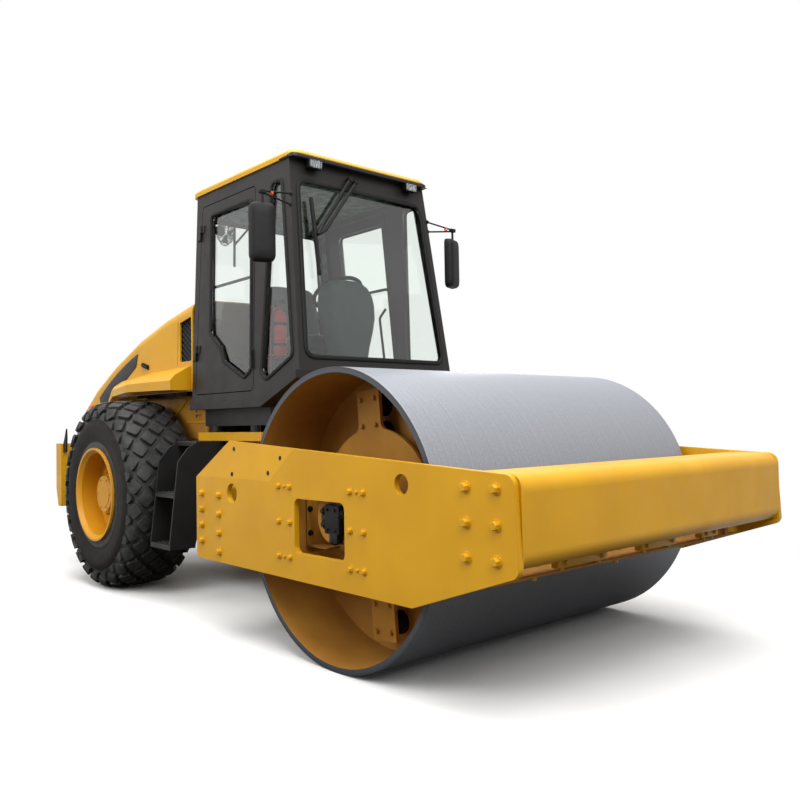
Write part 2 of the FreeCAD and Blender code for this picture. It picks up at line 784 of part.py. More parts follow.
def rear_frame():
    front = -s.frame_front_back
    axle = axle_x - pivot_x
    tail = axle - s.frame_tail
    arch_front, arch_rear = axle + s.rail_arch_half, axle - s.rail_arch_half
    rail_outline = ((front, s.rail_low), (front, s.rail_high), (tail, s.rail_high), (tail, s.rail_tail_low),
                    (arch_rear, s.rail_tail_low), (arch_rear + s.rail_arch_slant, s.rail_arch),
                    (arch_front - s.rail_arch_slant, s.rail_arch), (arch_front, s.rail_low))
    wide = s.frame_half_width
    parts = [prism("XZ", rail_outline, wide - s.rail_wall, wide),
             prism("XZ", rail_outline, -wide, s.rail_wall - wide)]
    for x, low in ((front, s.rail_low), (tail + s.cross_wall, s.rail_tail_low),
                   (arch_front + s.cross_wall, s.rail_low)):
        parts.append(Part.makeBox(s.cross_wall, 2 * wide, s.rail_high - low,
                                  Vector(x - s.cross_wall, -wide, low)))
    for middle in (s.pivot_height - s.hub_half_height - s.running_gap - s.ear_wall,
                   s.pivot_height + s.hub_half_height + s.running_gap):
        ear = prism("XY", ((front, -s.ear_radius), (0, -s.ear_radius),
                           (0, s.ear_radius), (front, s.ear_radius)), middle, middle + s.ear_wall)
        parts += [ear, Part.makeCylinder(s.ear_radius, s.ear_wall, Vector(0, 0, middle))]
    pin_half = s.hub_half_height + s.running_gap + s.ear_wall
    parts.append(Part.makeCylinder(s.pin_radius, 2 * pin_half, Vector(0, 0, s.pivot_height - pin_half)))
    rail_back = cab_x - pivot_x
    rail_front = rail_back + s.cab_rail_front
    rail_top = cab_low - s.base_drop - s.mount_height
    for side in (-1, 1):
        middle = side * (s.cab_rail_reach - s.cab_rail_width / 2)
        corner = Vector(rail_back, middle - s.cab_rail_width / 2, rail_top - s.cab_rail_wall)
        parts.append(Part.makeBox(rail_front - rail_back, s.cab_rail_width, s.cab_rail_wall, corner))
    for x in (rail_back + s.cab_brace_back, front - s.cross_wall * 2):
        parts.append(Part.makeBox(s.cross_wall * 2, 2 * s.cab_rail_reach - s.cab_rail_width,
                                  rail_top - s.rail_high,
                                  Vector(x, -s.cab_rail_reach + s.cab_rail_width / 2, s.rail_high)))
    for side in (-1, 1):
        foot = cylinder_foot(side)
        first = s.cylinder_foot_reach - s.eye_radius if side > 0 else -wide
        corner = Vector(foot.x - s.eye_radius, first, foot.z - 1.5 * s.eye_wall - s.running_gap)
        bracket = Part.makeBox(2 * s.eye_radius, wide - s.cylinder_foot_reach + s.eye_radius, s.eye_wall,
                               corner)
        pin = Part.makeCylinder(s.cylinder_pin, 2.5 * s.eye_wall, foot - Vector(0, 0, 1.5 * s.eye_wall))
        parts += [bracket, pin]
    for side in (-1, 1):
        lug_side = side * (wide - s.rail_wall)
        lug = prism("XZ", ((tail + 2 * s.lug_radius, s.rail_high), (tail, s.rail_high),
                           (hood_pin_x - pivot_x, hood_pin_z - s.lug_radius),
                           (hood_pin_x - pivot_x, hood_pin_z + s.lug_radius),
                           (tail + 2 * s.lug_radius, hood_pin_z)), lug_side, lug_side + side * s.lug_wall)
        pin_start = Vector(hood_pin_x - pivot_x, lug_side, hood_pin_z)
        parts += [lug, rod(pin_start, pin_start + Vector(0, side * s.lug_wall, 0), s.lug_radius),
                  rod(pin_start, pin_start + Vector(0, side * (2 * s.lug_wall + s.running_gap), 0),
                      s.hood_pin_radius)]
    frame = fused(parts)
    inner = s.cylinder_foot_reach - 2 * s.cylinder_radius
    outer = wide - s.rail_wall
    window = Part.makeBox(3 * s.cross_wall, outer - inner, 4 * s.cylinder_radius,
                          Vector(front - 2 * s.cross_wall, inner, cylinder_height - 2 * s.cylinder_radius))
    return frame.cut(window).cut(mirrored(window))


worked_out("rear_frame", rear_frame(), PIVOT_X)


def steering_cylinder(name, sign):
    """A barrel held at the rear frame and a rod whose eye stands on the yoke's arm."""
    foot, eye = cylinder_foot(sign), cylinder_eye(sign)
    line = (eye - foot).normalize()
    gland = eye - line * s.cylinder_gland_back
    half_wall = Vector(0, 0, s.eye_wall / 2)
    ring = Part.makeCylinder(1.5 * s.eye_radius, s.eye_wall, foot - half_wall)
    start = foot + line * (1.5 * s.eye_radius + s.barrel_clear)
    barrel = rod(start, gland, s.cylinder_radius)
    neck = rod(foot + line * 1.2 * s.eye_radius, start + line * s.barrel_clear, s.eye_wall / 3)
    hollow = rod(gland - line * (s.rod_inside + s.cylinder_foot_back / 4), gland + line * s.eye_wall,
                 s.cylinder_rod_radius + s.running_gap)
    pin_hole = Part.makeCylinder(s.cylinder_pin + s.running_gap, 2 * s.eye_wall, foot - half_wall * 2)
    worked_out(f"cylinder_barrel_{name}", fused([ring.cut(pin_hole), barrel.cut(hollow), neck]), PIVOT_X)
    stem = rod(gland - line * s.rod_inside, eye, s.cylinder_rod_radius)
    boss_low = s.pivot_height + s.yoke_arm_wall / 2 + s.running_gap
    boss = Part.makeCylinder(1.4 * s.eye_radius, eye.z + s.cylinder_rod_radius - boss_low,
                             Vector(eye.x, eye.y, boss_low))
    head = Part.makeCylinder(s.eye_radius, 1.5 * s.cylinder_rod_radius, eye)
    worked_out(f"cylinder_rod_{name}", fused([stem, boss, head]), PIVOT_X)


for name, sign in SIDES:
    steering_cylinder(name, sign)

# Rear axle and wheels

axle = new_body("rear_axle")
place(axle, x=AXLE_X, z=AXLE_Z)
axle_outline = (
    ("-axle_end", "0"), ("axle_end", "0"), ("axle_end", "axle_flange"),
    ("axle_end - axle_flange_wall", "axle_flange"), ("axle_end - axle_flange_wall", "axle_tube"),
    ("axle_ball_half", "axle_tube"), ("axle_ball_half / 2", "axle_ball"),
    ("-axle_ball_half / 2", "axle_ball"), ("-axle_ball_half", "axle_tube"),
    ("-axle_end + axle_flange_wall", "axle_tube"), ("-axle_end + axle_flange_wall", "axle_flange"),
    ("-axle_end", "axle_flange"))
revolve(axle, polygon(axle, "YZ_Plane", axle_outline))
pad(axle, circles(axle, "YZ_Plane", (("0", "0", "nose_radius"),)), "nose_length")
for edge_of_rail in ("-frame_half_width", "frame_half_width - rail_wall"):
    seat = ((edge_of_rail, "0"), (f"{edge_of_rail} + rail_wall", "0"),
            (f"{edge_of_rail} + rail_wall", f"rail_arch - {AXLE_Z}"),
            (edge_of_rail, f"rail_arch - {AXLE_Z}"))
    pad(axle, polygon(axle, "YZ_Plane", seat, "-axle_pad / 2"), "axle_pad")

RIM_OUTLINE = (
    # distance from the middle, radius
    ("axle_end + running_gap", "0"),
    ("axle_end + running_gap", "axle_flange"),
    ("dish_plane - dish_wall", "axle_flange"),
    ("dish_plane - dish_wall", "rim_seat - rim_drop - rim_wall"),
    ("tyre_inner - rim_lip / 2", "rim_seat - rim_drop - rim_wall"),
    ("tyre_inner - rim_lip / 2", "rim_flange"),
    ("tyre_inner + rim_lip", "rim_flange"),
    ("tyre_inner + rim_lip", "rim_seat"),
    ("tyre_outer - rim_lip", "rim_seat"),
    ("tyre_outer - rim_lip", "rim_flange"),
    ("tyre_outer + rim_lip / 2", "rim_flange"),
    ("tyre_outer + rim_lip / 2", "rim_flange - rim_wall"),
    ("tyre_outer - 2 * rim_lip", "rim_seat - rim_wall"),
    ("dish_plane", "rim_seat - rim_wall"),
    ("dish_plane", "hub_cap_radius"),
    ("hub_cap_plane", "hub_cap_radius"),
    ("hub_cap_plane", "0"),
)

TREAD_SECTIONS = (
    # columns from the tyre's middle, how far the crown has dropped, which blocks are wide
    (-2.42, 48, 0),
    (-2, 20, 0),
    (-1, 5, 1),
    (0, 0, 0),
    (1, 5, 1),
    (2, 20, 0),
    (2.42, 48, 0),
)
# A block's foot and top as shares of a pitch, where it is widest and where its neighbours are
BLOCK_WIDE = (0.40, 0.36)
BLOCK_NARROW = (0.07, 0.04)


def ring(across, radius):
    """Points of an even polygon round the axle, two to a pitch of the tread."""
    corners = 2 * int(s.tread_pitches)
    turns = [2 * math.pi * i / corners for i in range(corners)]
    return [Vector(radius * math.sin(turn), across, radius * math.cos(turn)) for turn in turns]


def tread_section(across, crown, wide_first):
    """The tread cut square to the axle: wide and narrow blocks by turns, half a pitch apart."""
    foot, points = crown - s.tread_depth, []
    pitches = int(s.tread_pitches)
    for i in range(2 * pitches):
        low, top = (BLOCK_WIDE, BLOCK_NARROW)[(i + wide_first) % 2]
        for share, radius in ((-low, foot), (-top, crown), (top, crown), (low, foot)):
            turn = 2 * math.pi * (i / 2 + share) / pitches
            points.append(Vector(radius * math.sin(turn), across, radius * math.cos(turn)))
    return points


def tyre():
    """A carcass of flat bands and a tread whose diamond blocks run from section to section."""
    middle = (s.tyre_inner + s.tyre_outer) / 2
    crown = s.tyre_radius / math.cos(2 * math.pi * BLOCK_WIDE[1] / s.tread_pitches)
    sections = [tread_section(middle + column * s.tread_column, crown - drop, wide)
                for column, drop, wide in TREAD_SECTIONS]
    half = (s.tyre_outer - s.tyre_inner) / 2
    edge = TREAD_SECTIONS[-1][0] * s.tread_column
    shoulder = s.tyre_radius - TREAD_SECTIONS[-1][1] - s.tread_depth
    belly = (shoulder + s.rim_flange) / 2
    seat = (s.rim_seat + s.running_gap) / math.cos(math.pi / (2 * s.tread_pitches))
    flank = ((edge, shoulder), (half, belly), (half - s.tyre_bulge, (belly + s.rim_flange) / 2),
             (half - 1.5 * s.rim_lip, seat))
    right, left = [[ring(middle + side * across, radius) for across, radius in flank] for side in (-1, 1)]
    faces = skin(sections) + skin([right[-1], left[-1]]) + skin(right) + skin(left)
    faces += [flat_ring(sections[0], right[0]), flat_ring(sections[-1], left[0])]
    return closed_solid(faces)


tyre_shape = tyre()
for name, sign in SIDES:
    rim = new_body(f"rim_{name}")
    place(rim, x=AXLE_X, z=AXLE_Z)
    outline = [(f"{sign} * ({across})", up) for across, up in RIM_OUTLINE]
    revolve(rim, polygon(rim, "YZ_Plane", outline))
    worked_out(f"tyre_{name}", mirrored(tyre_shape) if sign < 0 else tyre_shape, AXLE_X, AXLE_Z)

# Rear bumper and engine


bumper_deep = "(rear_overhang - frame_tail)"
bumper_outline = (("0", "bumper_high"), ("0", "bumper_knee"), (f"{bumper_deep} / 2", "bumper_low"),
                  (bumper_deep, "bumper_low"), (bumper_deep, "bumper_high"))
bumper = new_body("rear_bumper")
place(bumper, x=f"{AXLE_X} - rear_overhang")
pad(bumper, polygon(bumper, "XZ_Plane", bumper_outline, "-bumper_half_width"), "2 * bumper_half_width")
round_edges(bumper, "bumper_corner", lambda edge: along(Vector(0, 0, 1))(edge)
            and edge.Vertexes[0].Point.x < 1)

engine = doc.addObject("Part::Box", "engine_block")
engine.Label = "engine_block"
bind(engine, Length="engine_length", Width="engine_width", Height="engine_height")
place(engine, x=f"{AXLE_X} - engine_tail", y="-engine_width / 2", z="rail_high")
NODES.append(engine)

# Cab: panels of one wall thickness, each cut out of a box with leaning sides

half_lean = (s.cab_half_low - s.cab_half_high) / (cab_high - cab_low)
cab_outline = [(0, cab_low), (s.cab_chamfer_start, cab_low), (s.cab_length, cab_nose_low),
               (s.cab_length - s.cab_front_lean, cab_high), (-s.cab_rear_lean, cab_high)]
BIG = 4000


def cab_half(z, inset=0):
    return s.cab_half_low - (z - cab_low) * half_lean - inset


def between_sides(inset):
    low, high = cab_low - s.base_drop, cab_high + s.cap_wall
    return prism("YZ", ((-cab_half(low, inset), low), (cab_half(low, inset), low),
                        (cab_half(high, inset), high), (-cab_half(high, inset), high)), -BIG, BIG)


def cab_front_x(z):
    return s.cab_length - s.cab_front_lean * (z - cab_nose_low) / (cab_high - cab_nose_low)


def cab_rear_x(z):
    return -s.cab_rear_lean * (z - cab_low) / (cab_high - cab_low)


def band(edge_x, low, high, first, last):
    """A leaning slab between two distances behind or ahead of a wall's outside."""
    return ((edge_x(low) + first, low), (edge_x(high) + first, high),
            (edge_x(high) + last, high), (edge_x(low) + last, low))


outer_sides = between_sides(0)
inner_sides = between_sides(s.cab_wall)
outer_glass = between_sides(s.cab_wall / 2 - s.glass_wall / 2)
inner_glass = between_sides(s.cab_wall / 2 + s.glass_wall / 2)

DOOR_GLASS = (
    # edge it hangs on, distance from that edge, height over the sill or below the roof
    ("door_rear", 140, -180),
    ("door_front", -49, -180),
    ("door_front", -33, 199),
    ("door_front", -120, 151),
    ("door_rear", 396, 281),
    ("door_rear", 331, 388),
    ("door_rear", 186, 494),
)
QUARTER_GLASS = (
    # the same columns
    ("door_front", 194, -125),
    ("cab_front", -88, -125),
    ("cab_front", -62, 261),
    ("door_front", 146, 121),
    ("door_front", 90, 185),
)


def door_front_x(z):
    return s.door_front_low + (s.door_front_high - s.door_front_low) * (z - door_low) / (door_high - door_low)


def glazing(table):
    """The corners of a pane, hung on the edges that its table names."""
    edges = {"door_rear": lambda z: s.door_rear, "door_front": door_front_x, "cab_front": cab_front_x}
    corners = []
    for edge, offset, rise in table:
        z = rise + (cab_low if rise > 0 else cab_high)
        corners.append((edges[edge](z) + offset, z))
    return corners


door_glass, quarter_glass = glazing(DOOR_GLASS), glazing(QUARTER_GLASS)
door_opening = ((s.door_rear, door_low), (s.door_front_low, door_low),
                (s.door_front_high, door_high), (s.door_rear, door_high))
door_outline = ((s.door_rear + s.door_gap, door_low + s.door_gap),
                (s.door_front_low - s.door_gap, door_low + s.door_gap),
                (s.door_front_high - s.door_gap, door_high - s.door_gap),
                (s.door_rear + s.door_gap, door_high - s.door_gap))


def side_slab(outline, outside, inside, radius=0):
    """Both walls of an outline, between two leaning boxes."""
    return prism("XZ", outline, -BIG, BIG, radius).common(outside).cut(inside)


def one_side(shape, sign):
    return next(solid for solid in shape.Solids if solid.CenterOfMass.y * sign > 0)


def hinge_leaf(rise, toward):
    """A door hinge's leaf and barrel on the right side wall, leaning as the wall does."""
    reach, radius, height = s.hinge_reach, s.hinge_radius, s.hinge_height
    span = 2 * s.door_gap + radius
    leaf_x = s.door_rear + (s.door_gap if toward > 0 else -s.hinge_leaf)
    neck_x = s.door_rear - (0 if toward > 0 else span)
    barrel = Part.makeCylinder(radius, height, Vector(s.door_rear, -reach, rise))
    leaf = Part.makeBox(s.hinge_leaf, reach - radius / 2, height, Vector(leaf_x, radius / 2 - reach, rise))
    neck = Part.makeBox(span, radius, height, Vector(neck_x, -reach - radius / 2, rise))
    shape = fused([barrel, leaf, neck])
    lean = Rotation(Vector(1, 0, 0), -math.degrees(math.atan(half_lean)))
    shape.Placement = Placement(Vector(0, -s.cab_half_low, cab_low), lean)
    return shape


def hinge_leaves(toward):
    """All leaves on the doors, or all on the walls under them."""
    leaves = []
    for share in (0.18, 0.82):
        rise = door_low - cab_low + share * (door_high - door_low)
        leaf = hinge_leaf(rise + (s.hinge_height + s.running_gap if toward > 0 else 0), toward)
        leaves += [leaf, mirrored(leaf)]
    return leaves


side_walls = side_slab(cab_outline, outer_sides, inner_sides)
side_walls = side_walls.cut(prism("XZ", door_opening, -BIG, BIG, s.glazing_corner))
side_walls = side_walls.cut(prism("XZ", quarter_glass, -BIG, BIG, s.glazing_corner))
side_walls = fused([side_walls] + hinge_leaves(-1))
doors = side_slab(door_outline, outer_sides, inner_sides, s.glazing_corner - s.door_gap)
doors = doors.cut(prism("XZ", door_glass, -BIG, BIG, s.glazing_corner))
doors = fused([doors] + hinge_leaves(1))
door_panes = side_slab(door_glass, outer_glass, inner_glass, s.glazing_corner)
quarter_panes = side_slab(quarter_glass, outer_glass, inner_glass, s.glazing_corner)
for name, sign in SIDES:
    worked_out(f"cab_side_{name}", one_side(side_walls, sign), CAB_X)
    worked_out(f"door_{name}", one_side(doors, sign), CAB_X)
    worked_out(f"door_glass_{name}", one_side(door_panes, sign), CAB_X)



def leaning_pane(sill, head, margin):
    """A window's four corners, its sides a margin inside the leaning walls."""
    low, high = cab_low + sill, cab_high - head
    return ((-cab_half(low, margin), low), (cab_half(low, margin), low),
            (cab_half(high, margin), high), (-cab_half(high, margin), high))


screen = leaning_pane(s.screen_sill, s.screen_head, s.screen_margin)
rear_window = leaning_pane(s.rear_window_sill, s.rear_window_head, s.rear_window_margin)
screen_hole = prism("YZ", screen, s.cab_length / 2, BIG, 1.6 * s.glazing_corner)
rear_hole = prism("YZ", rear_window, -BIG, s.cab_length / 2, 1.6 * s.glazing_corner)
roof_low = cab_high - s.roof_wall
front_band = prism("XZ", band(cab_front_x, cab_nose_low, roof_low, -s.cab_wall, 0), -BIG, BIG)
rear_band = prism("XZ", band(cab_rear_x, cab_low + s.cab_wall, roof_low, 0, s.cab_wall), -BIG, BIG)
glass_first, glass_last = (s.cab_wall - s.glass_wall) / 2, (s.cab_wall + s.glass_wall) / 2
front_glass = prism("XZ", band(cab_front_x, cab_nose_low, roof_low, -glass_last, -glass_first), -BIG, BIG)
rear_glass = prism("XZ", band(cab_rear_x, cab_low + s.cab_wall, roof_low, glass_first, glass_last), -BIG, BIG)

worked_out("cab_front", front_band.common(inner_sides).cut(screen_hole), CAB_X)
worked_out("windscreen", front_glass.common(screen_hole), CAB_X)
worked_out("cab_rear", rear_band.common(inner_sides).cut(rear_hole), CAB_X)
fixed = [one_side(quarter_panes, sign) for name, sign in SIDES] + [rear_glass.common(rear_hole)]
worked_out("fixed_glass", Part.makeCompound([only_solid(pane) for pane in fixed]), CAB_X)

roof_band = prism("XZ", ((cab_rear_x(roof_low), roof_low), (cab_front_x(roof_low), roof_low),
                         (cab_front_x(cab_high), cab_high), (cab_rear_x(cab_high), cab_high)), -BIG, BIG)
worked_out("cab_roof", roof_band.common(inner_sides), CAB_X)


def roof_cap():
    """The thin roof skin, longer than the cab and a little wider."""
    low = cab_high
    front, rear = cab_front_x(low) + s.cap_front, cab_rear_x(low) - s.cap_rear
    reach = cab_half(low) + s.cap_side
    cap = prism("XY", ((rear, -reach), (front, -reach), (front, reach), (rear, reach)),
                low, low + s.cap_wall, s.cap_corner)
    rim = [edge for edge in cap.Edges if edge.CenterOfMass.z > low + s.cap_wall - 1]
    return cap.makeChamfer(s.cap_round, rim)


worked_out("roof_cap", roof_cap(), CAB_X)


def cab_floor():
    """The floor inside the walls, the ledge under them and the box down to the mounts."""
    wall, drop = s.cab_wall, s.ledge_wall
    chamfer = (s.cab_length - s.cab_chamfer_start, cab_nose_low - cab_low)
    slope = math.hypot(*chamfer)
    shift = drop * (slope - chamfer[0]) / chamfer[1]
    inner = ((0, cab_low), (s.cab_chamfer_start, cab_low), (s.cab_length, cab_nose_low),
             (s.cab_length - wall, cab_nose_low), (s.cab_chamfer_start - wall / 3, cab_low + wall),
             (0, cab_low + wall))
    floor = prism("XZ", inner, -BIG, BIG).common(inner_sides)
    ledge = ((0, cab_low), (0, cab_low - drop), (s.cab_chamfer_start + shift, cab_low - drop),
             (s.cab_length, cab_nose_low - drop * slope / chamfer[0]), (s.cab_length, cab_nose_low),
             (s.cab_chamfer_start, cab_low))
    reach = s.cab_half_low + s.ledge_reach
    ledge = prism("XZ", ledge, -reach, reach)
    base_low = cab_low - s.base_drop
    base_half = s.cab_half_low - s.base_inset
    base = Part.makeBox(s.cab_chamfer_start - s.base_inset, 2 * base_half, s.base_drop - drop,
                        Vector(s.base_inset, -base_half, base_low))
    mounts = []
    for x in (3 * s.base_inset, s.cab_chamfer_start - 3 * s.base_inset):
        for side in (-1, 1):
            foot = Vector(x, side * (s.cab_rail_reach - s.cab_rail_width / 2), base_low - s.mount_height)
            mounts.append(Part.makeCylinder(s.mount_radius, s.mount_height, foot))
    return fused([floor, ledge, base] + mounts)


floor_piece = cab_floor()
worked_out("cab_floor", floor_piece, CAB_X)

# Seat and steering stand


def seat():
    floor_z, top = cab_low + s.cab_wall, cab_low + s.seat_rise
    x, width, length = s.seat_ahead, s.seat_width, s.seat_length
    under, lean, deep = top - s.seat_cushion, s.backrest_lean, s.backrest_wall
    foot, inset = s.pedestal_inset, s.backrest_inset
    pedestal = prism("XZ", ((x + foot, floor_z), (x + length - foot, floor_z), (x + length - foot, under),
                            (x + foot, under)), -width / 3, width / 3)
    cushion = prism("XZ", ((x, under), (x + length, under), (x + length, top + s.seat_slope), (x, top)),
                    -width / 2, width / 2, s.seat_round)
    back = prism("XZ", ((x - inset, under + deep / 2), (x + deep - inset, under + deep / 2),
                        (x + deep - inset - lean, cab_low + s.backrest_rise),
                        (x - inset - lean, cab_low + s.backrest_rise)),
                 inset - width / 2, width / 2 - inset, s.seat_round)
    return fused([pedestal, cushion, back])


worked_out("seat", seat(), CAB_X)


def wheel_rim():
    """The steering wheel's rim: a ring of flats with an eight-sided section."""
    facets, loops = int(s.wheel_facets), []
    for k in range(9):
        turn = 2 * math.pi * k / 8
        radius, up = s.wheel_radius + s.wheel_rim * math.cos(turn), s.wheel_rim * math.sin(turn)
        loops.append([Vector(radius * math.cos(2 * math.pi * i / facets),
                             radius * math.sin(2 * math.pi * i / facets), up) for i in range(facets)])
    return closed_solid(skin(loops))


def steering_stand():
    floor_z, top = cab_low + s.cab_wall, cab_low + s.wheel_rise
    x, width = s.wheel_ahead, s.column_width
    near, far = x + s.stand_gap, x + s.stand_gap + s.stand_depth
    stand = prism("XZ", ((near, floor_z), (far + s.stand_rise, floor_z + s.stand_rise),
                         (far, top - s.stand_rise), (near, top - 2 * s.stand_rise)),
                  -width / 2, width / 2, s.stand_corner)
    lean = s.column_drop * math.tan(math.radians(s.wheel_tilt)) / 2
    column = rod(Vector(near + lean, 0, top - s.column_drop), Vector(x, 0, top), s.column_radius)
    ends = [Vector(math.cos(math.radians(turn)), math.sin(math.radians(turn)), 0) for turn in (90, 210, 330)]
    spokes = [rod(Vector(0, 0, 0), end * s.wheel_radius, s.spoke_radius) for end in ends]
    boss = Part.makeCylinder(s.wheel_boss, s.wheel_boss, Vector(0, 0, -s.wheel_boss / 2))
    wheel = fused([wheel_rim(), boss] + spokes)
    wheel.Placement = Placement(Vector(x, 0, top), Rotation(Vector(0, 1, 0), -s.wheel_tilt))
    return fused([stand, column, wheel]).cut(floor_piece)


worked_out("steering_stand", steering_stand(), CAB_X)

# Hood with its moulded fenders, louvres and rear grille

HOOD_TOP = (
    # behind the hood's front edge, height
    (0, 2190),
    (500, 2096),
    (960, 1978),
    (1460, 1800),
    (1860, 1620),
)


def hood_x(back):
    return hood_front - back


def lowered(points, wall):
    """A falling line moved inward by a wall, square to each of its runs."""
    turned = []
    for i, point in enumerate(points):
        here = Vector(*point, 0)
        runs = [Vector(*points[j + 1], 0) - Vector(*points[j], 0)
                for j in (i - 1, i) if 0 <= j < len(points) - 1]
        across = [Vector(run.y, -run.x, 0).normalize() for run in runs]
        middle = sum(across[1:], across[0]).normalize()
        turned.append(here + middle * (wall / middle.dot(across[0])))
    return [(point.x, point.y) for point in turned]


def hood_section(x, crown, wall):
    """The hood cut across: straight sides, round shoulders and a slightly bowed top."""
    half, low = s.hood_half_width - wall, hood_tail_low - 2 * wall
    shoulder, bow = s.hood_shoulder - wall, s.hood_bow
    bend = shoulder * (1 - math.sqrt(0.5))
    slope = ((half, low), (half, crown - shoulder), (half - bend, crown - bend), (half - shoulder, crown))
    points = [Vector(x, -y, z) for y, z in slope] + [Vector(x, 0, crown + bow)]
    points += [Vector(x, y, z) for y, z in slope[::-1]]
    edges = [Part.LineSegment(*points[:2]), Part.Arc(*points[1:4]), Part.Arc(*points[3:6]),
             Part.Arc(*points[5:8]), Part.LineSegment(*points[7:]), Part.LineSegment(points[8], points[0])]
    return Part.Wire([edge.toShape() for edge in edges])


def hood_block(wall):
    """The closed form of the hood, moved inward by its wall and open to the front and below."""
    tail = hood_front - tail_x - s.hood_tail_gap
    line = list(HOOD_TOP) + [(tail, s.hood_tail_high)]
    if wall:
        line = lowered(line, wall)
        first, second = line[0], line[1]
        steep = (second[1] - first[1]) / (second[0] - first[0])
        line[0] = (-wall, first[1] + steep * (-wall - first[0]))
        before, last = line[-2], line[-1]
        steep = (last[1] - before[1]) / (last[0] - before[0])
        line[-1] = (tail - wall, before[1] + steep * (tail - wall - before[0]))
    sections = [hood_section(hood_x(back), crown, wall) for back, crown in line]
    block = Part.makeLoft(sections, True, True)
    if wall:
        return block
    under = ((hood_x(-1), hood_tail_low - 1), (hood_x(-1), s.hood_low),
             (hood_x(s.hood_tail_drop), s.hood_low),
             (hood_x(s.hood_tail_drop + s.hood_step), hood_tail_low - 1))
    return block.cut(prism("XZ", under, -BIG, BIG))


tail_wall_x = tail_x + s.hood_tail_gap
SIDE_LOUVRE = (
    (hood_x(s.louvre_front), s.louvre_low),
    (hood_x(s.louvre_front), s.louvre_high + s.louvre_slope),
    (hood_x(s.louvre_rear), s.louvre_high),
    (hood_x(s.louvre_rear), s.louvre_low),
)
grille_low = hood_tail_low + s.grille_sill
grille_high = grille_low + s.grille_tall
TAIL_GRILLE = ((-s.grille_half, grille_low), (s.grille_half, grille_low),
               (s.grille_half, grille_high), (-s.grille_half, grille_high))


def widened(points, rim):
    """A convex outline moved out by a rim from its middle, corner by corner."""
    across = sum(point[0] for point in points) / len(points)
    up = sum(point[1] for point in points) / len(points)
    return [(x + math.copysign(rim, x - across), z + math.copysign(rim, z - up)) for x, z in points]


def hood():
    shell = hood_block(0).cut(hood_block(s.hood_wall))
    shell = shell.cut(prism("XZ", SIDE_LOUVRE, -BIG, BIG, s.grille_rim))
    shell = shell.cut(prism("YZ", TAIL_GRILLE, tail_wall_x - 1, tail_wall_x + 2 * s.hood_wall, s.grille_rim))
    knuckles = []
    for side in (-1, 1):
        first = side * (s.frame_half_width - s.rail_wall + s.lug_wall + s.running_gap)
        last = first + side * s.lug_wall
        middle = Vector(hood_pin_x, first, hood_pin_z)
        half = s.lug_radius / 2
        web_x = tail_wall_x + s.hood_wall / 2
        web = prism("XZ", ((hood_pin_x, middle.z - half), (web_x, middle.z - half),
                           (web_x, middle.z + half), (hood_pin_x, middle.z + half)), first, last)
        knuckle = fused([rod(middle, Vector(hood_pin_x, last, middle.z), s.lug_radius), web])
        knuckles.append(knuckle.cut(rod(middle, Vector(hood_pin_x, last, middle.z),
                                        s.hood_pin_radius + s.running_gap)))
    return fused([shell] + knuckles)


worked_out("hood", hood())


def louvre(points, slant, tilt):
    """A rimmed panel of tilted slats lying in the plane of its outline, its back at zero."""
    rim = widened(points, s.grille_rim)
    panel = prism("XZ", rim, 0, s.slat_wall).cut(prism("XZ", points, -1, s.slat_wall + 1, s.grille_rim))
    across = sum(point[0] for point in points) / len(points)
    low, high = min(point[1] for point in points), max(point[1] for point in points)
    reach = max(point[0] for point in points) - min(point[0] for point in points)
    window = prism("XZ", [(x, z) for x, z in widened(points, s.grille_rim / 2)], 0, s.slat_depth)
    slats = []
    overrun = reach * math.tan(math.radians(slant)) / 2
    count = int((high - low + 2 * overrun) / s.slat_pitch)
    for i in range(count + 1):
        slat = Part.makeBox(3 * reach, s.slat_depth * 2, s.slat_wall / 2,
                            Vector(-1.5 * reach, -s.slat_depth, -s.slat_wall / 4))
        slat.rotate(Vector(0, 0, 0), Vector(1, 0, 0), tilt)
        slat.rotate(Vector(0, 0, 0), Vector(0, 1, 0), slant)
        slat.translate(Vector(across, s.slat_depth / 2, low - overrun + (i + 0.5) * s.slat_pitch))
        cut = slat.common(window)
        slats += cut.Solids
    return fused([panel] + slats)


def grilles():
    side = louvre(SIDE_LOUVRE, s.slat_angle, s.slat_tilt)
    side.translate(Vector(0, s.hood_wall - s.hood_half_width, 0))
    tail = louvre(TAIL_GRILLE, 0, s.slat_tilt)
    tail.rotate(Vector(0, 0, 0), Vector(0, 0, 1), -90)
    tail.translate(Vector(tail_wall_x + s.hood_wall, 0, 0))
    return Part.makeCompound([side, mirrored(side), tail])


worked_out("hood_grilles", grilles())


def marker_lamps():
    lamps = []
    for side in (-1, 1):
        near = (side - 1) * s.marker_deep / 2 + side * s.hood_half_width
        lens = Part.makeBox(s.marker_length, s.marker_deep, s.marker_tall,
                            Vector(hood_x(s.marker_back), near, s.marker_height - s.marker_tall / 2))
        outside = [edge for edge in lens.Edges
                   if abs(abs(edge.CenterOfMass.y) - s.hood_half_width - s.marker_deep) < 1]
        lamps.append(lens.makeFillet(s.marker_deep / 3, outside))
    return Part.makeCompound(lamps)


worked_out("marker_lamps", marker_lamps())


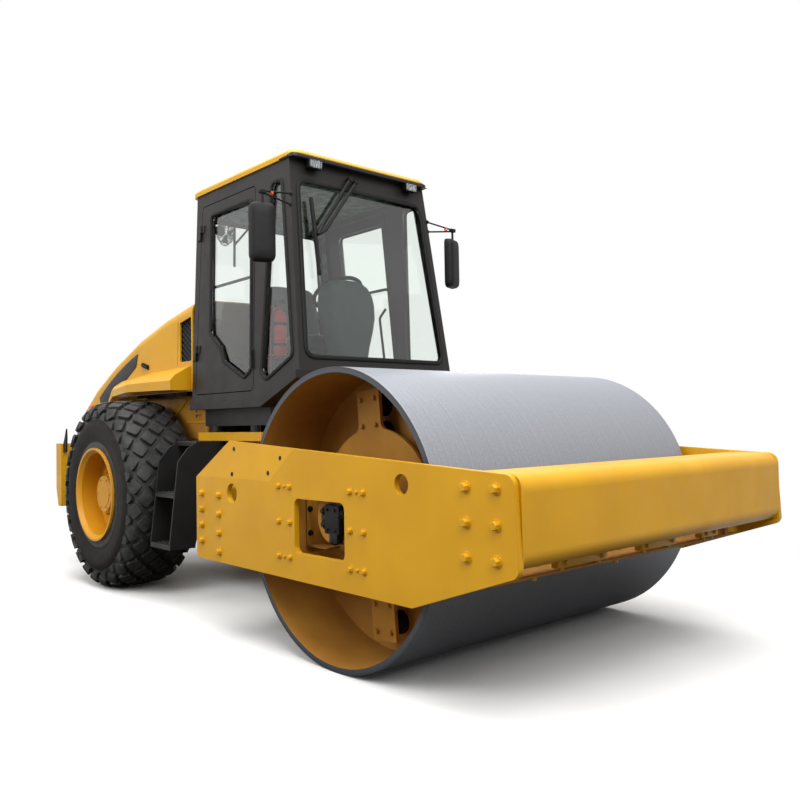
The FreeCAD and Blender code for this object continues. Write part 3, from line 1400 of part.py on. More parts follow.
def side_tanks():
    """The tanks on the rails under the hood, each with three short slots in its face."""
    inner = s.engine_width / 2 + s.tank_gap
    front, rear, high = hood_front - s.tank_front, hood_front - s.tank_rear, s.hood_low - s.tank_under_hood
    tank = Part.makeBox(front - rear, s.tank_reach - inner, high - s.rail_high,
                        Vector(rear, -s.tank_reach, s.rail_high))
    tank = tank.makeFillet(s.tank_corner, [edge for edge in tank.Edges
                                           if abs(edge.CenterOfMass.y + s.tank_reach) < 1])
    for i in range(3):
        slot_z = high - s.tank_slot_inset - i * 2 * s.tank_slot_pitch
        tank = tank.cut(Part.makeBox(s.tank_slot_length, 2 * s.tank_slot_deep, s.tank_slot_pitch,
                                     Vector(front - s.tank_slot_inset - s.tank_slot_length,
                                            -s.tank_reach - s.tank_slot_deep, slot_z)))
    return Part.makeCompound([tank, mirrored(tank)])


worked_out("side_tanks", side_tanks())


FENDER_SECTIONS = (
    # behind the hood's front edge, reach from the middle, root, edge and underside heights
    (0, 790, 1695, 1600, 1507),
    (770, 790, 1672, 1600, 1520),
    (1220, 725, 1640, 1572, 1500),
    (1500, 640, 1515, 1490, 1440),
)


def fender():
    """The right moulded shelf over the tyre, rounded along its outer edge, ending in the hood's side."""
    loops = []
    for back, reach, root, edge, low in FENDER_SECTIONS:
        x = hood_x(back + s.fender_front)
        slope = Vector(0, reach - s.hood_half_width, root - edge)
        corners = [Vector(x, -s.hood_half_width, low), Vector(x, -s.hood_half_width, root),
                   Vector(x, -reach, edge) + slope * s.fender_shoulder,
                   Vector(x, -reach, edge - (edge - low) * s.fender_shoulder), Vector(x, -reach, low)]
        loops.append(corners)
    return closed_solid(skin(loops) + [flat(*loops[0]), flat(*loops[-1])])


right_fender = fender()
worked_out("fenders", Part.makeCompound([right_fender, mirrored(right_fender)]))

# Steps, mirrors and lamps


STEP_OUTLINE = (
    # distance from the middle, height
    (620, 1128),
    (800, 1128),
    (868, 1087),
    (944, 994),
    (1008, 440),
    (1008, 395),
    (823, 395),
)
TREADS = (
    # height, nose, depth
    (395, 1008, 190),
    (745, 972, 235),
    (1098, 800, 190),
)


def step_ladder():
    """The right steps: two stringers with three treads, hung from the frame by a crossbar."""
    rear = axle_x + s.step_rear
    front = rear + s.step_length
    parts = [prism("YZ", [(-across, z) for across, z in STEP_OUTLINE], x, x + s.step_wall)
             for x in (rear, front - s.step_wall)]
    for z, nose, deep in TREADS:
        parts.append(Part.makeBox(front - rear, deep, s.tread_wall, Vector(rear, -nose, z)))
    parts.append(Part.makeBox(front - rear, s.step_inner - s.frame_half_width, s.step_bar,
                              Vector(rear, -s.step_inner, s.rail_high - s.step_bar)))
    return fused(parts)


ladder = step_ladder()
worked_out("steps", Part.makeCompound([ladder, mirrored(ladder)]))


def mirror_arm():
    x = s.cab_length - s.mirror_ahead
    z = cab_high - s.mirror_below_roof
    inner, outer = s.mirror_width / 2 - s.mirror_reach, -s.mirror_reach - s.mirror_width / 2
    low, high = z - s.mirror_tall / 2, z + s.mirror_tall / 2
    housing = prism("YZ", ((inner, low), (inner, high), (outer, high), (outer, low)), x, x + s.mirror_deep,
                    s.mirror_corner)
    stem_x, stem_y = x + s.mirror_deep / 2, -s.mirror_reach
    knee = high + s.mirror_arm_rise
    stem_top = Vector(stem_x, stem_y, knee + s.arm_radius)
    parts = [housing, rod(Vector(stem_x, stem_y, z), stem_top, s.arm_radius)]
    for rise in (-1, 1):
        root_z = knee + rise * s.mirror_arm_spread
        root = Vector(x, -cab_half(root_z), root_z)
        parts.append(rod(root, Vector(stem_x, stem_y, knee), s.arm_radius))
    return fused(parts).cut(outer_sides)


right_mirror = mirror_arm()
worked_out("mirrors", Part.makeCompound([right_mirror, mirrored(right_mirror)]), CAB_X)


def work_lamps():
    low = cab_high - s.lamp_height
    x = cab_front_x(low)
    lamps = []
    for side in (-1, 1):
        lamp = Part.makeBox(s.lamp_deep, s.lamp_width, s.lamp_height,
                            Vector(x + s.running_gap, side * s.lamp_reach - s.lamp_width / 2, low))
        lamps.append(lamp)
    return Part.makeCompound(lamps)


worked_out("work_lamps", work_lamps(), CAB_X)

# Every object has to be sound before anything is written

doc.recompute()
for item in doc.Objects:
    if "Invalid" in item.State or "Error" in item.State:
        raise RuntimeError(f"{item.Label} failed: {item.State}")
for item in NODES:
    if item.Shape.isNull() or not item.Shape.isValid() or not item.Shape.Solids:
        raise RuntimeError(f"{item.Label} has no sound shape")

os.makedirs("parts", exist_ok=True)
for item in NODES:
    item.Shape.exportStep(f"parts/{item.Label}.step")
    print(f"{item.Label}: {len(item.Shape.Solids)} solids, {item.Shape.Volume / 1e9:.5f} m3")
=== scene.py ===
# %% [markdown]
# # A single-drum road roller
# The machine's steel is already modelled: its frames, drum, cab and hood come in as finished parts.
# This lesson dresses them. It gives each surface the finish of its real material and adds the small things
# that the steel carries: bolt heads, tyre blocks, window seals, lamps, handles and the operator's place.

# %% Load the finished parts
import math

import bmesh
import bpy
from mathutils import Matrix, Vector


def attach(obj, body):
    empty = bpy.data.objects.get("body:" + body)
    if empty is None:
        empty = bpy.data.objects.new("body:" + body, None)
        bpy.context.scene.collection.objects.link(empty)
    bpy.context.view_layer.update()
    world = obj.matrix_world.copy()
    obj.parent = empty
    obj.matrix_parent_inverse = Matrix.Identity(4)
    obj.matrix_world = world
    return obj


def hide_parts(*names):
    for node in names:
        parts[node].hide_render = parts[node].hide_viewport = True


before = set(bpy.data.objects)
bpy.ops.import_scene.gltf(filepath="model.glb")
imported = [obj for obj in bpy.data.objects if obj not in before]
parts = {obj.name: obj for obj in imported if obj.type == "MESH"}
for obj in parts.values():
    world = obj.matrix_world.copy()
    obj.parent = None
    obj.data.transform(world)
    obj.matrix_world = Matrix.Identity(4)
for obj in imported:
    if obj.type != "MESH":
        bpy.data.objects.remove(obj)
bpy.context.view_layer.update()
MM = 0.001

# %% [markdown]
# ## The camera
# The photographer stood low, beside the drum and close to it, so the drum looms and the cab leans back.
# The camera's place, aim and tilt are set as measured numbers, because a view this close changes with
# every hand's width. The lens is written for a picture as wide as it is high.

# %% Camera
CAMERA_PLACE = Vector((4.8836, -3.5312, 1.2320))
CAMERA_TURN, CAMERA_PITCH, CAMERA_ROLL = (math.radians(angle) for angle in (48.09, -1.65, -0.974))
SENSOR_WIDTH = 36
LENS_PER_WIDTH = 812.82 / 800

aim = Vector((-math.sin(CAMERA_TURN) * math.cos(CAMERA_PITCH),
              math.cos(CAMERA_TURN) * math.cos(CAMERA_PITCH), -math.sin(CAMERA_PITCH)))
level = aim.cross(Vector((0, 0, 1))).normalized()
upright = level.cross(aim)
across = level * math.cos(CAMERA_ROLL) + upright * math.sin(CAMERA_ROLL)
up = upright * math.cos(CAMERA_ROLL) - level * math.sin(CAMERA_ROLL)
lens = bpy.data.cameras.new("camera")
lens.sensor_width = SENSOR_WIDTH
lens.lens = SENSOR_WIDTH * LENS_PER_WIDTH
camera = bpy.data.objects.new("camera", lens)
camera.matrix_world = Matrix.Translation(CAMERA_PLACE) @ Matrix((across, up, -aim)).transposed().to_4x4()
bpy.context.scene.collection.objects.link(camera)
bpy.context.scene.camera = camera
bpy.context.scene.view_settings.view_transform = "Standard"

# %% [markdown]
# ## Light and floor
# The picture was taken outside under a bright even sky and then cut out on white. Most of the light comes
# from overhead, so tops are bright and undersides deep. One wide soft lamp above stands for the sky, weaker
# ones at the sides lift the upright plates, and the world adds a little from everywhere.

# %% Lamps
SKY_LIGHT = 0.22
LAMPS = (
    # name, place, what it points at, size, watts
    ("sky_above", (1.0, -0.5, 9.0), (0.3, 0, 0.5), 9, 930),
    ("sky_front", (7.5, -3.0, 7.0), (1.0, 0, 0.8), 6, 680),
    ("sky_side", (-1.5, -8.5, 6.0), (0.2, 0, 0.8), 6, 520),
    ("sky_back", (-7.0, 6.0, 6.0), (0, 0, 1.5), 6, 330),
)
for name, place, target, size, watts in LAMPS:
    lamp = bpy.data.lights.new(name, "AREA")
    lamp.size = size
    lamp.energy = watts
    holder = bpy.data.objects.new(name, lamp)
    holder.location = place
    holder.rotation_mode = "QUATERNION"
    holder.rotation_quaternion = (Vector(target) - Vector(place)).to_track_quat("-Z", "Y")
    holder.visible_camera = holder.visible_transmission = False
    bpy.context.scene.collection.objects.link(holder)
print(len(LAMPS), "lamps")

# %% [markdown]
# ## Helpers for finishes
# Colours are picked on a screen, so they are written as sRGB hex and turned to linear light here.
# One function adds a node, fills in its settings and joins its inputs to other nodes' outputs.

# %% Colour and node helpers
def linear(code):
    """An sRGB hex colour as linear red, green, blue and alpha."""
    values = [int(code[i:i + 2], 16) / 255 for i in (1, 3, 5)]
    return [v / 12.92 if v <= 0.04045 else ((v + 0.055) / 1.055) ** 2.4 for v in values] + [1]


def add(tree, kind, settings=(), **inputs):
    """A node with its settings as attributes, its inputs by name as values or other nodes' outputs."""
    node = tree.nodes.new("ShaderNode" + kind)
    for name, value in dict(settings).items():
        setattr(node, name, value)
    for name, value in inputs.items():
        socket = node.inputs[int(name[1:])] if name[0] == "_" else node.inputs[name.replace("_", " ")]
        if isinstance(value, bpy.types.NodeSocket):
            tree.links.new(value, socket)
        else:
            socket.default_value = value
    return node


def calc(tree, operation, *values, kind="Math"):
    """One sum on numbers, vectors or other nodes' outputs."""
    node = add(tree, kind, {"operation": operation}, **{f"_{n}": value for n, value in enumerate(values)})
    return node.outputs["Value" if kind == "Math" or operation == "LENGTH" else "Vector"]


def place_of(tree):
    """Coordinates fixed to the piece, in metres."""
    return add(tree, "TexCoord").outputs["Object"]


def noise(tree, size_mm, detail, **inputs):
    """Noise fixed to the piece, its grains about that many millimetres wide."""
    node = add(tree, "TexNoise", Vector=place_of(tree), Scale=1000 / size_mm, Detail=detail, **inputs)
    return node.outputs["Fac"]


def pebbles(tree, size_mm):
    """A leather grain whose pebbles are about that many millimetres wide."""
    return add(tree, "TexVoronoi", Vector=place_of(tree), Scale=1000 / size_mm).outputs["Distance"]


def ramp(tree, share, dark, light, low=0.0, high=1.0):
    """A colour that goes from dark to light as the share goes from low to high."""
    node = add(tree, "ValToRGB", Fac=share)
    for element, spot, code in zip(node.color_ramp.elements, (low, high), (dark, light)):
        element.position, element.color = spot, linear(code)
    return node.outputs["Color"]


def mix(tree, share, first, second):
    """The first colour where the share is nothing, the second where it is one."""
    return add(tree, "Mix", {"data_type": "RGBA"}, _0=share, _6=first, _7=second).outputs[2]


def new_finish(name, code, roughness, metallic=0.0, **sockets):
    """A material with its shader set, returned with its tree and its shader."""
    finish = bpy.data.materials.new(name)
    finish.use_nodes = True
    shader = finish.node_tree.nodes["Principled BSDF"]
    shader.inputs["Base Color"].default_value = linear(code)
    shader.inputs["Roughness"].default_value = roughness
    shader.inputs["Metallic"].default_value = metallic
    for socket, value in sockets.items():
        shader.inputs[socket.replace("_", " ")].default_value = value
    return finish, finish.node_tree, shader


def mottle(tree, shader, light, dark, size_mm):
    """Soft blotches between two colours; returns the colour."""
    colour = ramp(tree, noise(tree, size_mm, 4.0), dark, light, 0.35, 0.65)
    tree.links.new(colour, shader.inputs["Base Color"])
    return colour


def roughen(tree, shader, share, low, high, start=0.3, end=0.7):
    """Roughness that wanders between two values, as handling and weather leave it."""
    spread = add(tree, "MapRange", Value=share, From_Min=start, From_Max=end, To_Min=low, To_Max=high)
    tree.links.new(spread.outputs["Result"], shader.inputs["Roughness"])


def relief(tree, shader, height, depth_mm, strength=1.0, edge_mm=0):
    """Bump of a real depth, over edges eased by a small radius."""
    bump = add(tree, "Bump", Height=height, Distance=depth_mm * MM, Strength=strength)
    if edge_mm:
        eased = add(tree, "Bevel", {"samples": 4}, Radius=edge_mm * MM)
        tree.links.new(eased.outputs["Normal"], bump.inputs["Normal"])
    tree.links.new(bump.outputs["Normal"], shader.inputs["Normal"])

# %% [markdown]
# ## Painted steel
# The yellow is a sprayed two-pack enamel over welded plate. Thick enamel levels into a soft gloss, but plate
# this size is never quite flat, so a slow ripple bends the reflections, and edges are ground round before
# paint. The same recipe with other colours gives the wheel enamel, the cab's brown-black and the step black.

# %% Enamels
def enamel(name, light, dark, roughness, ripple_mm=0.25):
    finish, tree, shader = new_finish(name, light, roughness, Coat_Weight=0.05, Coat_Roughness=0.2,
                                      Specular_IOR_Level=0.3)
    mottle(tree, shader, light, dark, 350)
    roughen(tree, shader, noise(tree, 120, 5.0), roughness - 0.05, roughness + 0.08)
    relief(tree, shader, noise(tree, 90, 2.0), ripple_mm, 0.35, edge_mm=3)
    return finish


yellow_enamel = enamel("yellow_enamel_on_steel", "#D49D12", "#CC9510", 0.42)
wheel_enamel = enamel("wheel_enamel_on_steel", "#CF9218", "#C58914", 0.42)
cab_enamel = enamel("brown_black_enamel", "#1A1513", "#14100F", 0.48, 0.12)
# Darker, browner yellow for parts deep inside the frame, under the beam and under the fender: painted shade,
# with some brown dust
shade_and_dust_enamel = enamel("yellow_enamel_darkened_by_painted_shade_and_dust", "#C08A30", "#A26F2A", 0.6)
step_enamel = enamel("black_enamel_on_steps", "#191819", "#121213", 0.48, 0.3)
red_enamel = enamel("red_enamel_on_extinguisher", "#B3181C", "#A81418", 0.3, 0.05)
motor_casting = enamel("black_enamel_on_casting", "#2B2420", "#1C1816", 0.5, 0.6)
print("enamels mixed")

# %% [markdown]
# ## Drum steel
# The drum is rolled from thick mild steel and rubs itself bare on stone. Fine grit leaves a dense matt grey
# with streaks that run round the drum, never across it. The inside was never rubbed, so it keeps its enamel,
# darker and browner there as painted shade of the drum's inside, with some brown dust; one material tells the
# two apart by the distance from the drum's axle. The sawn ends of the shell are darker steel, told apart by
# their place along the axle.

# %% Drum steel
DRUM_CENTRE = Vector((1.615, 0, 0.7615))
DRUM_RADIUS = 0.7615
DRUM_HALF = 1.065
STREAK_MM = 14
SKIN_DEPTH, SAWN_DEPTH = 0.012, 0.001


def drum_finish():
    finish, tree, shader = new_finish("rubbed_steel_and_enamel", "#8C9097", 0.5)
    place = place_of(tree)
    axis = add(tree, "SeparateXYZ", Vector=place).outputs["Y"]
    offset = calc(tree, "SUBTRACT", place, DRUM_CENTRE, kind="VectorMath")
    flat = calc(tree, "MULTIPLY", offset, (1, 0, 1), kind="VectorMath")
    radius = calc(tree, "LENGTH", flat, kind="VectorMath")
    outside = calc(tree, "GREATER_THAN", radius, DRUM_RADIUS - SKIN_DEPTH)
    # Streaks are rings along the axle, broken up by the grit
    rings = add(tree, "TexNoise", {"noise_dimensions": "1D"}, W=axis, Scale=1000 / STREAK_MM, Detail=6.0)
    grit = noise(tree, 9, 8.0, Roughness=0.7)
    streaks = calc(tree, "MULTIPLY_ADD", rings.outputs["Fac"], 0.35, grit)
    steel = ramp(tree, streaks, "#787B82", "#979AA1", 0.42, 0.95)
    # The inside's enamel is a darker, browner yellow: painted shade of the drum's inside, with brown dust
    inside_shade_and_dust = ramp(tree, noise(tree, 160, 5.0), "#96652C", "#C28C36")
    sawn = calc(tree, "GREATER_THAN", calc(tree, "ABSOLUTE", axis), DRUM_HALF - SAWN_DEPTH)
    colour = mix(tree, sawn, mix(tree, outside, inside_shade_and_dust, steel), linear("#3C3E42"))
    tree.links.new(colour, shader.inputs["Base Color"])
    tree.links.new(calc(tree, "MULTIPLY", outside, 0.25), shader.inputs["Metallic"])
    roughen(tree, shader, grit, 0.38, 0.55)
    relief(tree, shader, streaks, 0.4, 0.5, edge_mm=4)
    return finish


drum_steel = drum_finish()

# %% [markdown]
# ## Rubber, plastic, glass and bare metal
# Tyre rubber is filled with carbon black: nearly black, matt, browner where the flank has dried. Moulded
# plastic has a fine leather grain. The cab's panes are tempered and tinted a little green, which shows most
# where two panes overlap. The cylinder rods are ground and hard-chromed.

# %% Rubber and plastic
def moulded(name, light, dark, roughness, grain_mm, depth_mm, **sockets):
    finish, tree, shader = new_finish(name, light, roughness, Specular_IOR_Level=0.2, **sockets)
    mottle(tree, shader, light, dark, 60)
    relief(tree, shader, pebbles(tree, grain_mm), depth_mm, 0.6, edge_mm=1.5)
    return finish


tyre_rubber = moulded("tyre_rubber_carbon_black", "#3A3A39", "#262625", 0.5, 5, 0.5)
flank_rubber = moulded("tyre_rubber_dried_flank", "#211C19", "#171412", 0.75, 5, 0.4)
seal_rubber = moulded("epdm_seal_rubber", "#141414", "#0E0E0E", 0.6, 3, 0.2)
buffer_rubber = moulded("natural_rubber_buffer", "#1C1B1A", "#131211", 0.7, 4, 0.3)
black_plastic = moulded("moulded_black_polypropylene", "#121111", "#0C0C0C", 0.55, 2, 0.15)
grey_plastic = moulded("moulded_grey_green_abs", "#3D4B47", "#34403C", 0.5, 2, 0.15)
lining = moulded("grey_roof_lining_felt", "#74837C", "#4E5954", 0.9, 3, 0.4)
orange_lens = moulded("orange_acrylic_lens", "#E8590C", "#D94F08", 0.2, 6, 0.1, Coat_Weight=0.5)
red_reflector = moulded("red_acrylic_reflector", "#A3141A", "#8E1015", 0.25, 4, 0.1)


def seat_vinyl_finish():
    finish, tree, shader = new_finish("black_seat_vinyl", "#26282A", 0.55, Sheen_Weight=0.15)
    mottle(tree, shader, "#2C3432", "#222826", 40)
    relief(tree, shader, pebbles(tree, 2.5), 0.3, 0.7)
    return finish


seat_vinyl = seat_vinyl_finish()

# %% Glass, lenses and bare metal
SMEAR = 0.004


def glass_like(name, code, roughness=0.0, ior=1.52):
    finish, tree, shader = new_finish(name, code, roughness, IOR=ior, Transmission_Weight=1.0)
    roughen(tree, shader, noise(tree, 70, 3.0), roughness, roughness + SMEAR, 0.4, 0.8)
    return finish


def bare_metal(name, light, dark, roughness, grain_mm=6, depth_mm=0.05):
    finish, tree, shader = new_finish(name, light, roughness, 1.0)
    mottle(tree, shader, light, dark, 80)
    roughen(tree, shader, noise(tree, 30, 5.0), roughness * 0.8, roughness * 1.3)
    relief(tree, shader, noise(tree, grain_mm, 4.0), depth_mm, 0.5, edge_mm=1)
    return finish


tinted_glass = glass_like("green_tinted_safety_glass", "#F6FAF7")
clear_lens = glass_like("clear_polycarbonate_lens", "#F2F4F2", 0.05, 1.58)
rod_chrome = bare_metal("hard_chrome_on_ground_steel", "#D8DADC", "#C8CACD", 0.10)
mirror_silver = bare_metal("silvered_mirror_glass", "#E4E8EA", "#DDE1E4", 0.03, 40, 0.005)
raw_iron = bare_metal("grey_iron_casting", "#5A5756", "#413E3D", 0.6, 4, 0.4)
plug_steel = bare_metal("blued_steel_plugs", "#3A3836", "#2A2827", 0.45)
worn_steel = bare_metal("scuffed_step_steel", "#6B6967", "#4A4846", 0.45, 4, 0.2)

# %% Give every part its finish
PART_FINISHES = (
    # finish, parts
    (yellow_enamel, ("side_plate_right", "side_plate_left", "front_beam", "cross_beam", "rear_frame",
                     "roof_cap", "hood", "fenders", "rear_bumper", "cylinder_barrel_right",
                     "cylinder_barrel_left")),
    (drum_steel, ("drum_shell",)),
    # The darker yellow on these parts is painted shade, with some brown dust
    (shade_and_dust_enamel, ("drive_plate", "drum_carriers", "scrapers", "side_tanks")),
    (wheel_enamel, ("rim_right", "rim_left")),
    (cab_enamel, ("cab_side_right", "cab_side_left", "door_right", "door_left", "cab_front", "cab_rear",
                  "cab_roof", "cab_floor")),
    (step_enamel, ("steps",)),
    (tyre_rubber, ("tyre_right", "tyre_left")),
    (buffer_rubber, ("drum_buffers",)),
    (tinted_glass, ("door_glass_right", "door_glass_left", "windscreen", "fixed_glass")),
    (rod_chrome, ("cylinder_rod_right", "cylinder_rod_left")),
    (black_plastic, ("hood_grilles", "mirrors", "work_lamps")),
    (grey_plastic, ("steering_stand",)),
    (raw_iron, ("centre_yoke", "rear_axle", "engine_block")),
    (seat_vinyl, ("seat",)),
    (orange_lens, ("marker_lamps",)),
)
for finish, names in PART_FINISHES:
    for name in names:
        parts[name].data.materials.clear()
        parts[name].data.materials.append(finish)
print("every part has its finish")

# %% [markdown]
# ## Building pieces
# Each new piece is drawn into one mesh by a small function and then handed over: named, shaded, given its
# finish and fixed to the body that carries it. Hundreds of bolt heads are one joined mesh, because a scene
# with fewer, larger objects stays quick. Most forms are rings of points with a skin between them.

# %% Pieces
SIDES = (("right", -1), ("left", 1))
ALONG, ACROSS, UP = Vector((1, 0, 0)), Vector((0, 1, 0)), Vector((0, 0, 1))


def drawn(name, draw, body, finish, smooth=35):
    """A piece drawn into an empty mesh, shaded smooth up to an angle and fixed to its body."""
    bm = bmesh.new()
    draw(bm)
    bmesh.ops.recalc_face_normals(bm, faces=bm.faces)
    mesh = bpy.data.meshes.new(name)
    bm.to_mesh(mesh)
    bm.free()
    for each in finish if isinstance(finish, tuple) else (finish,):
        mesh.materials.append(each)
    mesh.shade_smooth()
    mesh.set_sharp_from_angle(angle=math.radians(smooth))
    piece = bpy.data.objects.new(name, mesh)
    bpy.context.scene.collection.objects.link(piece)
    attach(piece, body)
    return piece


def drawn_pair(name, draw, body, finish, smooth=35):
    """A right and a left piece from one function of a side; {} in the body's name stands for the hand."""
    return [drawn(f"{name}_{hand}", lambda bm: draw(bm, side), body.format(hand), finish, smooth)
            for hand, side in SIDES]


def both_sides(draw):
    """A function that draws what is on the right and what is on the left into one mesh."""
    def draw_both(bm):
        for _, side in SIDES:
            draw(bm, side)
    return draw_both


# %% Points and skins
def verts_at(bm, points):
    return [bm.verts.new(point) for point in points]


def moved(place, points):
    """Points that are counted from a place."""
    return [Vector(place) + Vector(point) for point in points]


def circle(count, radius, centre=(0, 0, 0), across=ALONG, up=UP, start=0.0):
    """Points spaced evenly round a centre, in the plane of two directions."""
    turns = [start + k * math.tau / count for k in range(count)]
    return [Vector(centre) + (across * math.cos(turn) + up * math.sin(turn)) * radius for turn in turns]


def scaled(outline, x, centre, wide, tall):
    """An upright outline at some x, made narrower and lower about its centre."""
    return [Vector((x, centre.y + (p.y - centre.y) * wide, centre.z + (p.z - centre.z) * tall))
            for p in outline]


def rounded(points, radius, steps=5, closed=True):
    """Flat or spatial corners replaced by short arcs."""
    points = [Vector(point) for point in points]
    made = []
    for i, here in enumerate(points):
        if not closed and i in (0, len(points) - 1):
            made.append(here)
            continue
        back, ahead = points[i - 1] - here, points[(i + 1) % len(points)] - here
        reach = min(radius / math.tan(back.angle(ahead) / 2), back.length * 0.48, ahead.length * 0.48)
        first, last = here + back.normalized() * reach, here + ahead.normalized() * reach
        for k in range(steps + 1):
            share = k / steps
            made.append(first * (1 - share) ** 2 + here * 2 * share * (1 - share) + last * share ** 2)
    return made


def smooth_line(points, steps):
    """A line through all points without corners (Catmull-Rom)."""
    points = [Vector(point) for point in points]
    padded = [2 * points[0] - points[1]] + points + [2 * points[-1] - points[-2]]
    made = []
    for before, here, after, next_one in zip(padded, padded[1:], padded[2:], padded[3:]):
        for k in range(steps):
            u = k / steps
            made.append(0.5 * (2 * here + (after - before) * u
                               + (2 * before - 5 * here + 4 * after - next_one) * u ** 2
                               + (3 * here - before - 3 * after + next_one) * u ** 3))
    return made + [points[-1]]


def skin(bm, rings, slot=0, closed=True, caps=False):
    """Faces from each ring of vertices to the next, and over both ends if asked."""
    for lower, upper in zip(rings, rings[1:]):
        for k in range(len(lower) if closed else len(lower) - 1):
            m = (k + 1) % len(lower)
            bm.faces.new((lower[k], lower[m], upper[m], upper[k])).material_index = slot
    if caps:
        bm.faces.new(rings[0][::-1]).material_index = slot
        bm.faces.new(rings[-1]).material_index = slot


# %% Simple forms
BOLT_TURN = 0.3


def add_box(bm, low, high, ease=0.0, slot=0):
    """A box between two corners with eased edges."""
    low, high = Vector(low), Vector(high)
    shape = Matrix.Translation((low + high) / 2) @ Matrix.Diagonal((*(high - low), 1))
    cube = bmesh.ops.create_cube(bm, size=1, matrix=shape)
    faces = {face for vert in cube["verts"] for face in vert.link_faces}
    for face in faces:
        face.material_index = slot
    if ease:
        edges = list({edge for face in faces for edge in face.edges})
        bmesh.ops.bevel(bm, geom=edges, offset=ease, segments=2, affect="EDGES", profile=0.5)


def frame_along(direction):
    """A turn that takes +Z to a direction."""
    return Vector(direction).to_track_quat("Z", "Y").to_matrix().to_4x4()


def add_turned(bm, place, direction, outline, sides=32, slot=0, start=0.0):
    """A turned solid: (radius, height) pairs swept round a direction."""
    turn = Matrix.Translation(place) @ frame_along(direction)
    rings = []
    for radius, height in outline:
        points = circle(sides if radius else 1, radius, (0, 0, height), ALONG, ACROSS, start)
        rings.append(verts_at(bm, [turn @ point for point in points]))
    for lower, upper in zip(rings, rings[1:]):
        for i in range(sides):
            j = (i + 1) % sides
            corners = [lower[i % len(lower)], lower[j % len(lower)],
                       upper[j % len(upper)], upper[i % len(upper)]]
            corners = list(dict.fromkeys(corners))
            if len(corners) > 2:
                bm.faces.new(corners).material_index = slot


def knob(radius, straight, top, high):
    """The outline of a turned stub whose end is bevelled."""
    return (0, 0), (radius, 0), (radius, straight), (top, high), (0, high)


def add_bolt(bm, place, direction, across=0.030, washer=True):
    """A hexagon head on its washer; across is the size over the flats."""
    reach = across / math.sqrt(3)
    low = 0.0
    if washer:
        low = 0.1 * across
        add_turned(bm, place, direction, ((0, 0), (0.78 * across, 0), (0.80 * across, 0.4 * low),
                                          (0.78 * across, low), (0, low)), 20)
    high = low + 0.62 * across
    add_turned(bm, place, direction, ((0, low), (reach, low), (reach, high - 0.08 * across),
                                      (0.86 * reach, high), (0, high)), 6, start=BOLT_TURN)


def add_tube(bm, points, radius, sides=12, closed=False, slot=0, flat=1.0):
    """A round bar along straight runs, mitred at its corners; flat squeezes it to a strip."""
    points = [Vector(point) for point in points]
    count = len(points)
    rings = []
    side = None
    for i, point in enumerate(points):
        before = points[i - 1] if (i or closed) else point
        after = points[(i + 1) % count] if (i < count - 1 or closed) else point
        ahead = ((after - point).normalized() + (point - before).normalized()).normalized()
        if side is None:
            side = ahead.orthogonal().normalized()
        side = (side - ahead * side.dot(ahead)).normalized()
        turn = (after - point).angle(point - before) / 2 if before != point and after != point else 0
        widen = 1 / max(math.cos(turn), 0.5)
        bend = ((after - point).normalized() - (point - before).normalized())
        bend = bend.normalized() if bend.length > 1e-6 else side
        arms = circle(sides, radius, across=side, up=ahead.cross(side) * flat)
        rings.append(verts_at(bm, [point + arm + bend * arm.dot(bend) * (widen - 1) for arm in arms]))
    skin(bm, rings + rings[:1] if closed else rings, slot, caps=not closed)


def add_pipe(bm, points, bend, radius, sides=10, steps=5, flat=1.0):
    """An open bar whose corners are bent to a radius."""
    add_tube(bm, rounded(points, bend, steps, False), radius, sides, flat=flat)


print("helpers ready")

# %% [markdown]
# ## Tyres
# A soil roller's tyre is wide and low in pressure, with square blocks set cornerwise so that mud slides out
# of the zigzag grooves. Its cross-section is one smooth line from bead to bead. The line is measured along
# its own length, so a block keeps its size where it bends over the shoulder. Blocks are patches of that line
# raised by the tread's depth, with corners drawn in and a small round at the top edge.

# %% Tyre section
AXLE = Vector((-1.385, 0, 0.724))
TYRE_MIDDLE = 0.82
HALF_SECTION = (
    # across from the tyre's middle, radius: from the crown round the shoulder to the bead
    (0.000, 0.7240), (0.090, 0.7225), (0.160, 0.7170), (0.212, 0.7040), (0.246, 0.6800), (0.264, 0.6450),
    (0.2725, 0.5900), (0.2745, 0.5300), (0.2720, 0.4800), (0.2655, 0.4450), (0.2590, 0.4200),
    (0.2590, 0.3900), (0.2625, 0.3620), (0.2625, 0.3335),
)
section_line = smooth_line(HALF_SECTION, 12)
section_marks = [0.0]
for last, here in zip(section_line, section_line[1:]):
    section_marks.append(section_marks[-1] + (here - last).length)
SECTION_LENGTH = section_marks[-1]


def section_point(mark, drop=0.0):
    """Across and radius at a distance along the section from the crown, sunk by a drop."""
    reach = min(abs(mark), SECTION_LENGTH - 1e-6)
    k = next(k for k, far in enumerate(section_marks) if far > reach) - 1
    share = (reach - section_marks[k]) / (section_marks[k + 1] - section_marks[k])
    run = section_line[k + 1] - section_line[k]
    point = section_line[k] + run * share
    inward = Vector((run.y, -run.x)).normalized() * drop
    return math.copysign(1, mark) * (point.x + inward.x), point.y + inward.y


print(f"tyre section {2 * SECTION_LENGTH * 1000:.0f} mm from bead to bead")

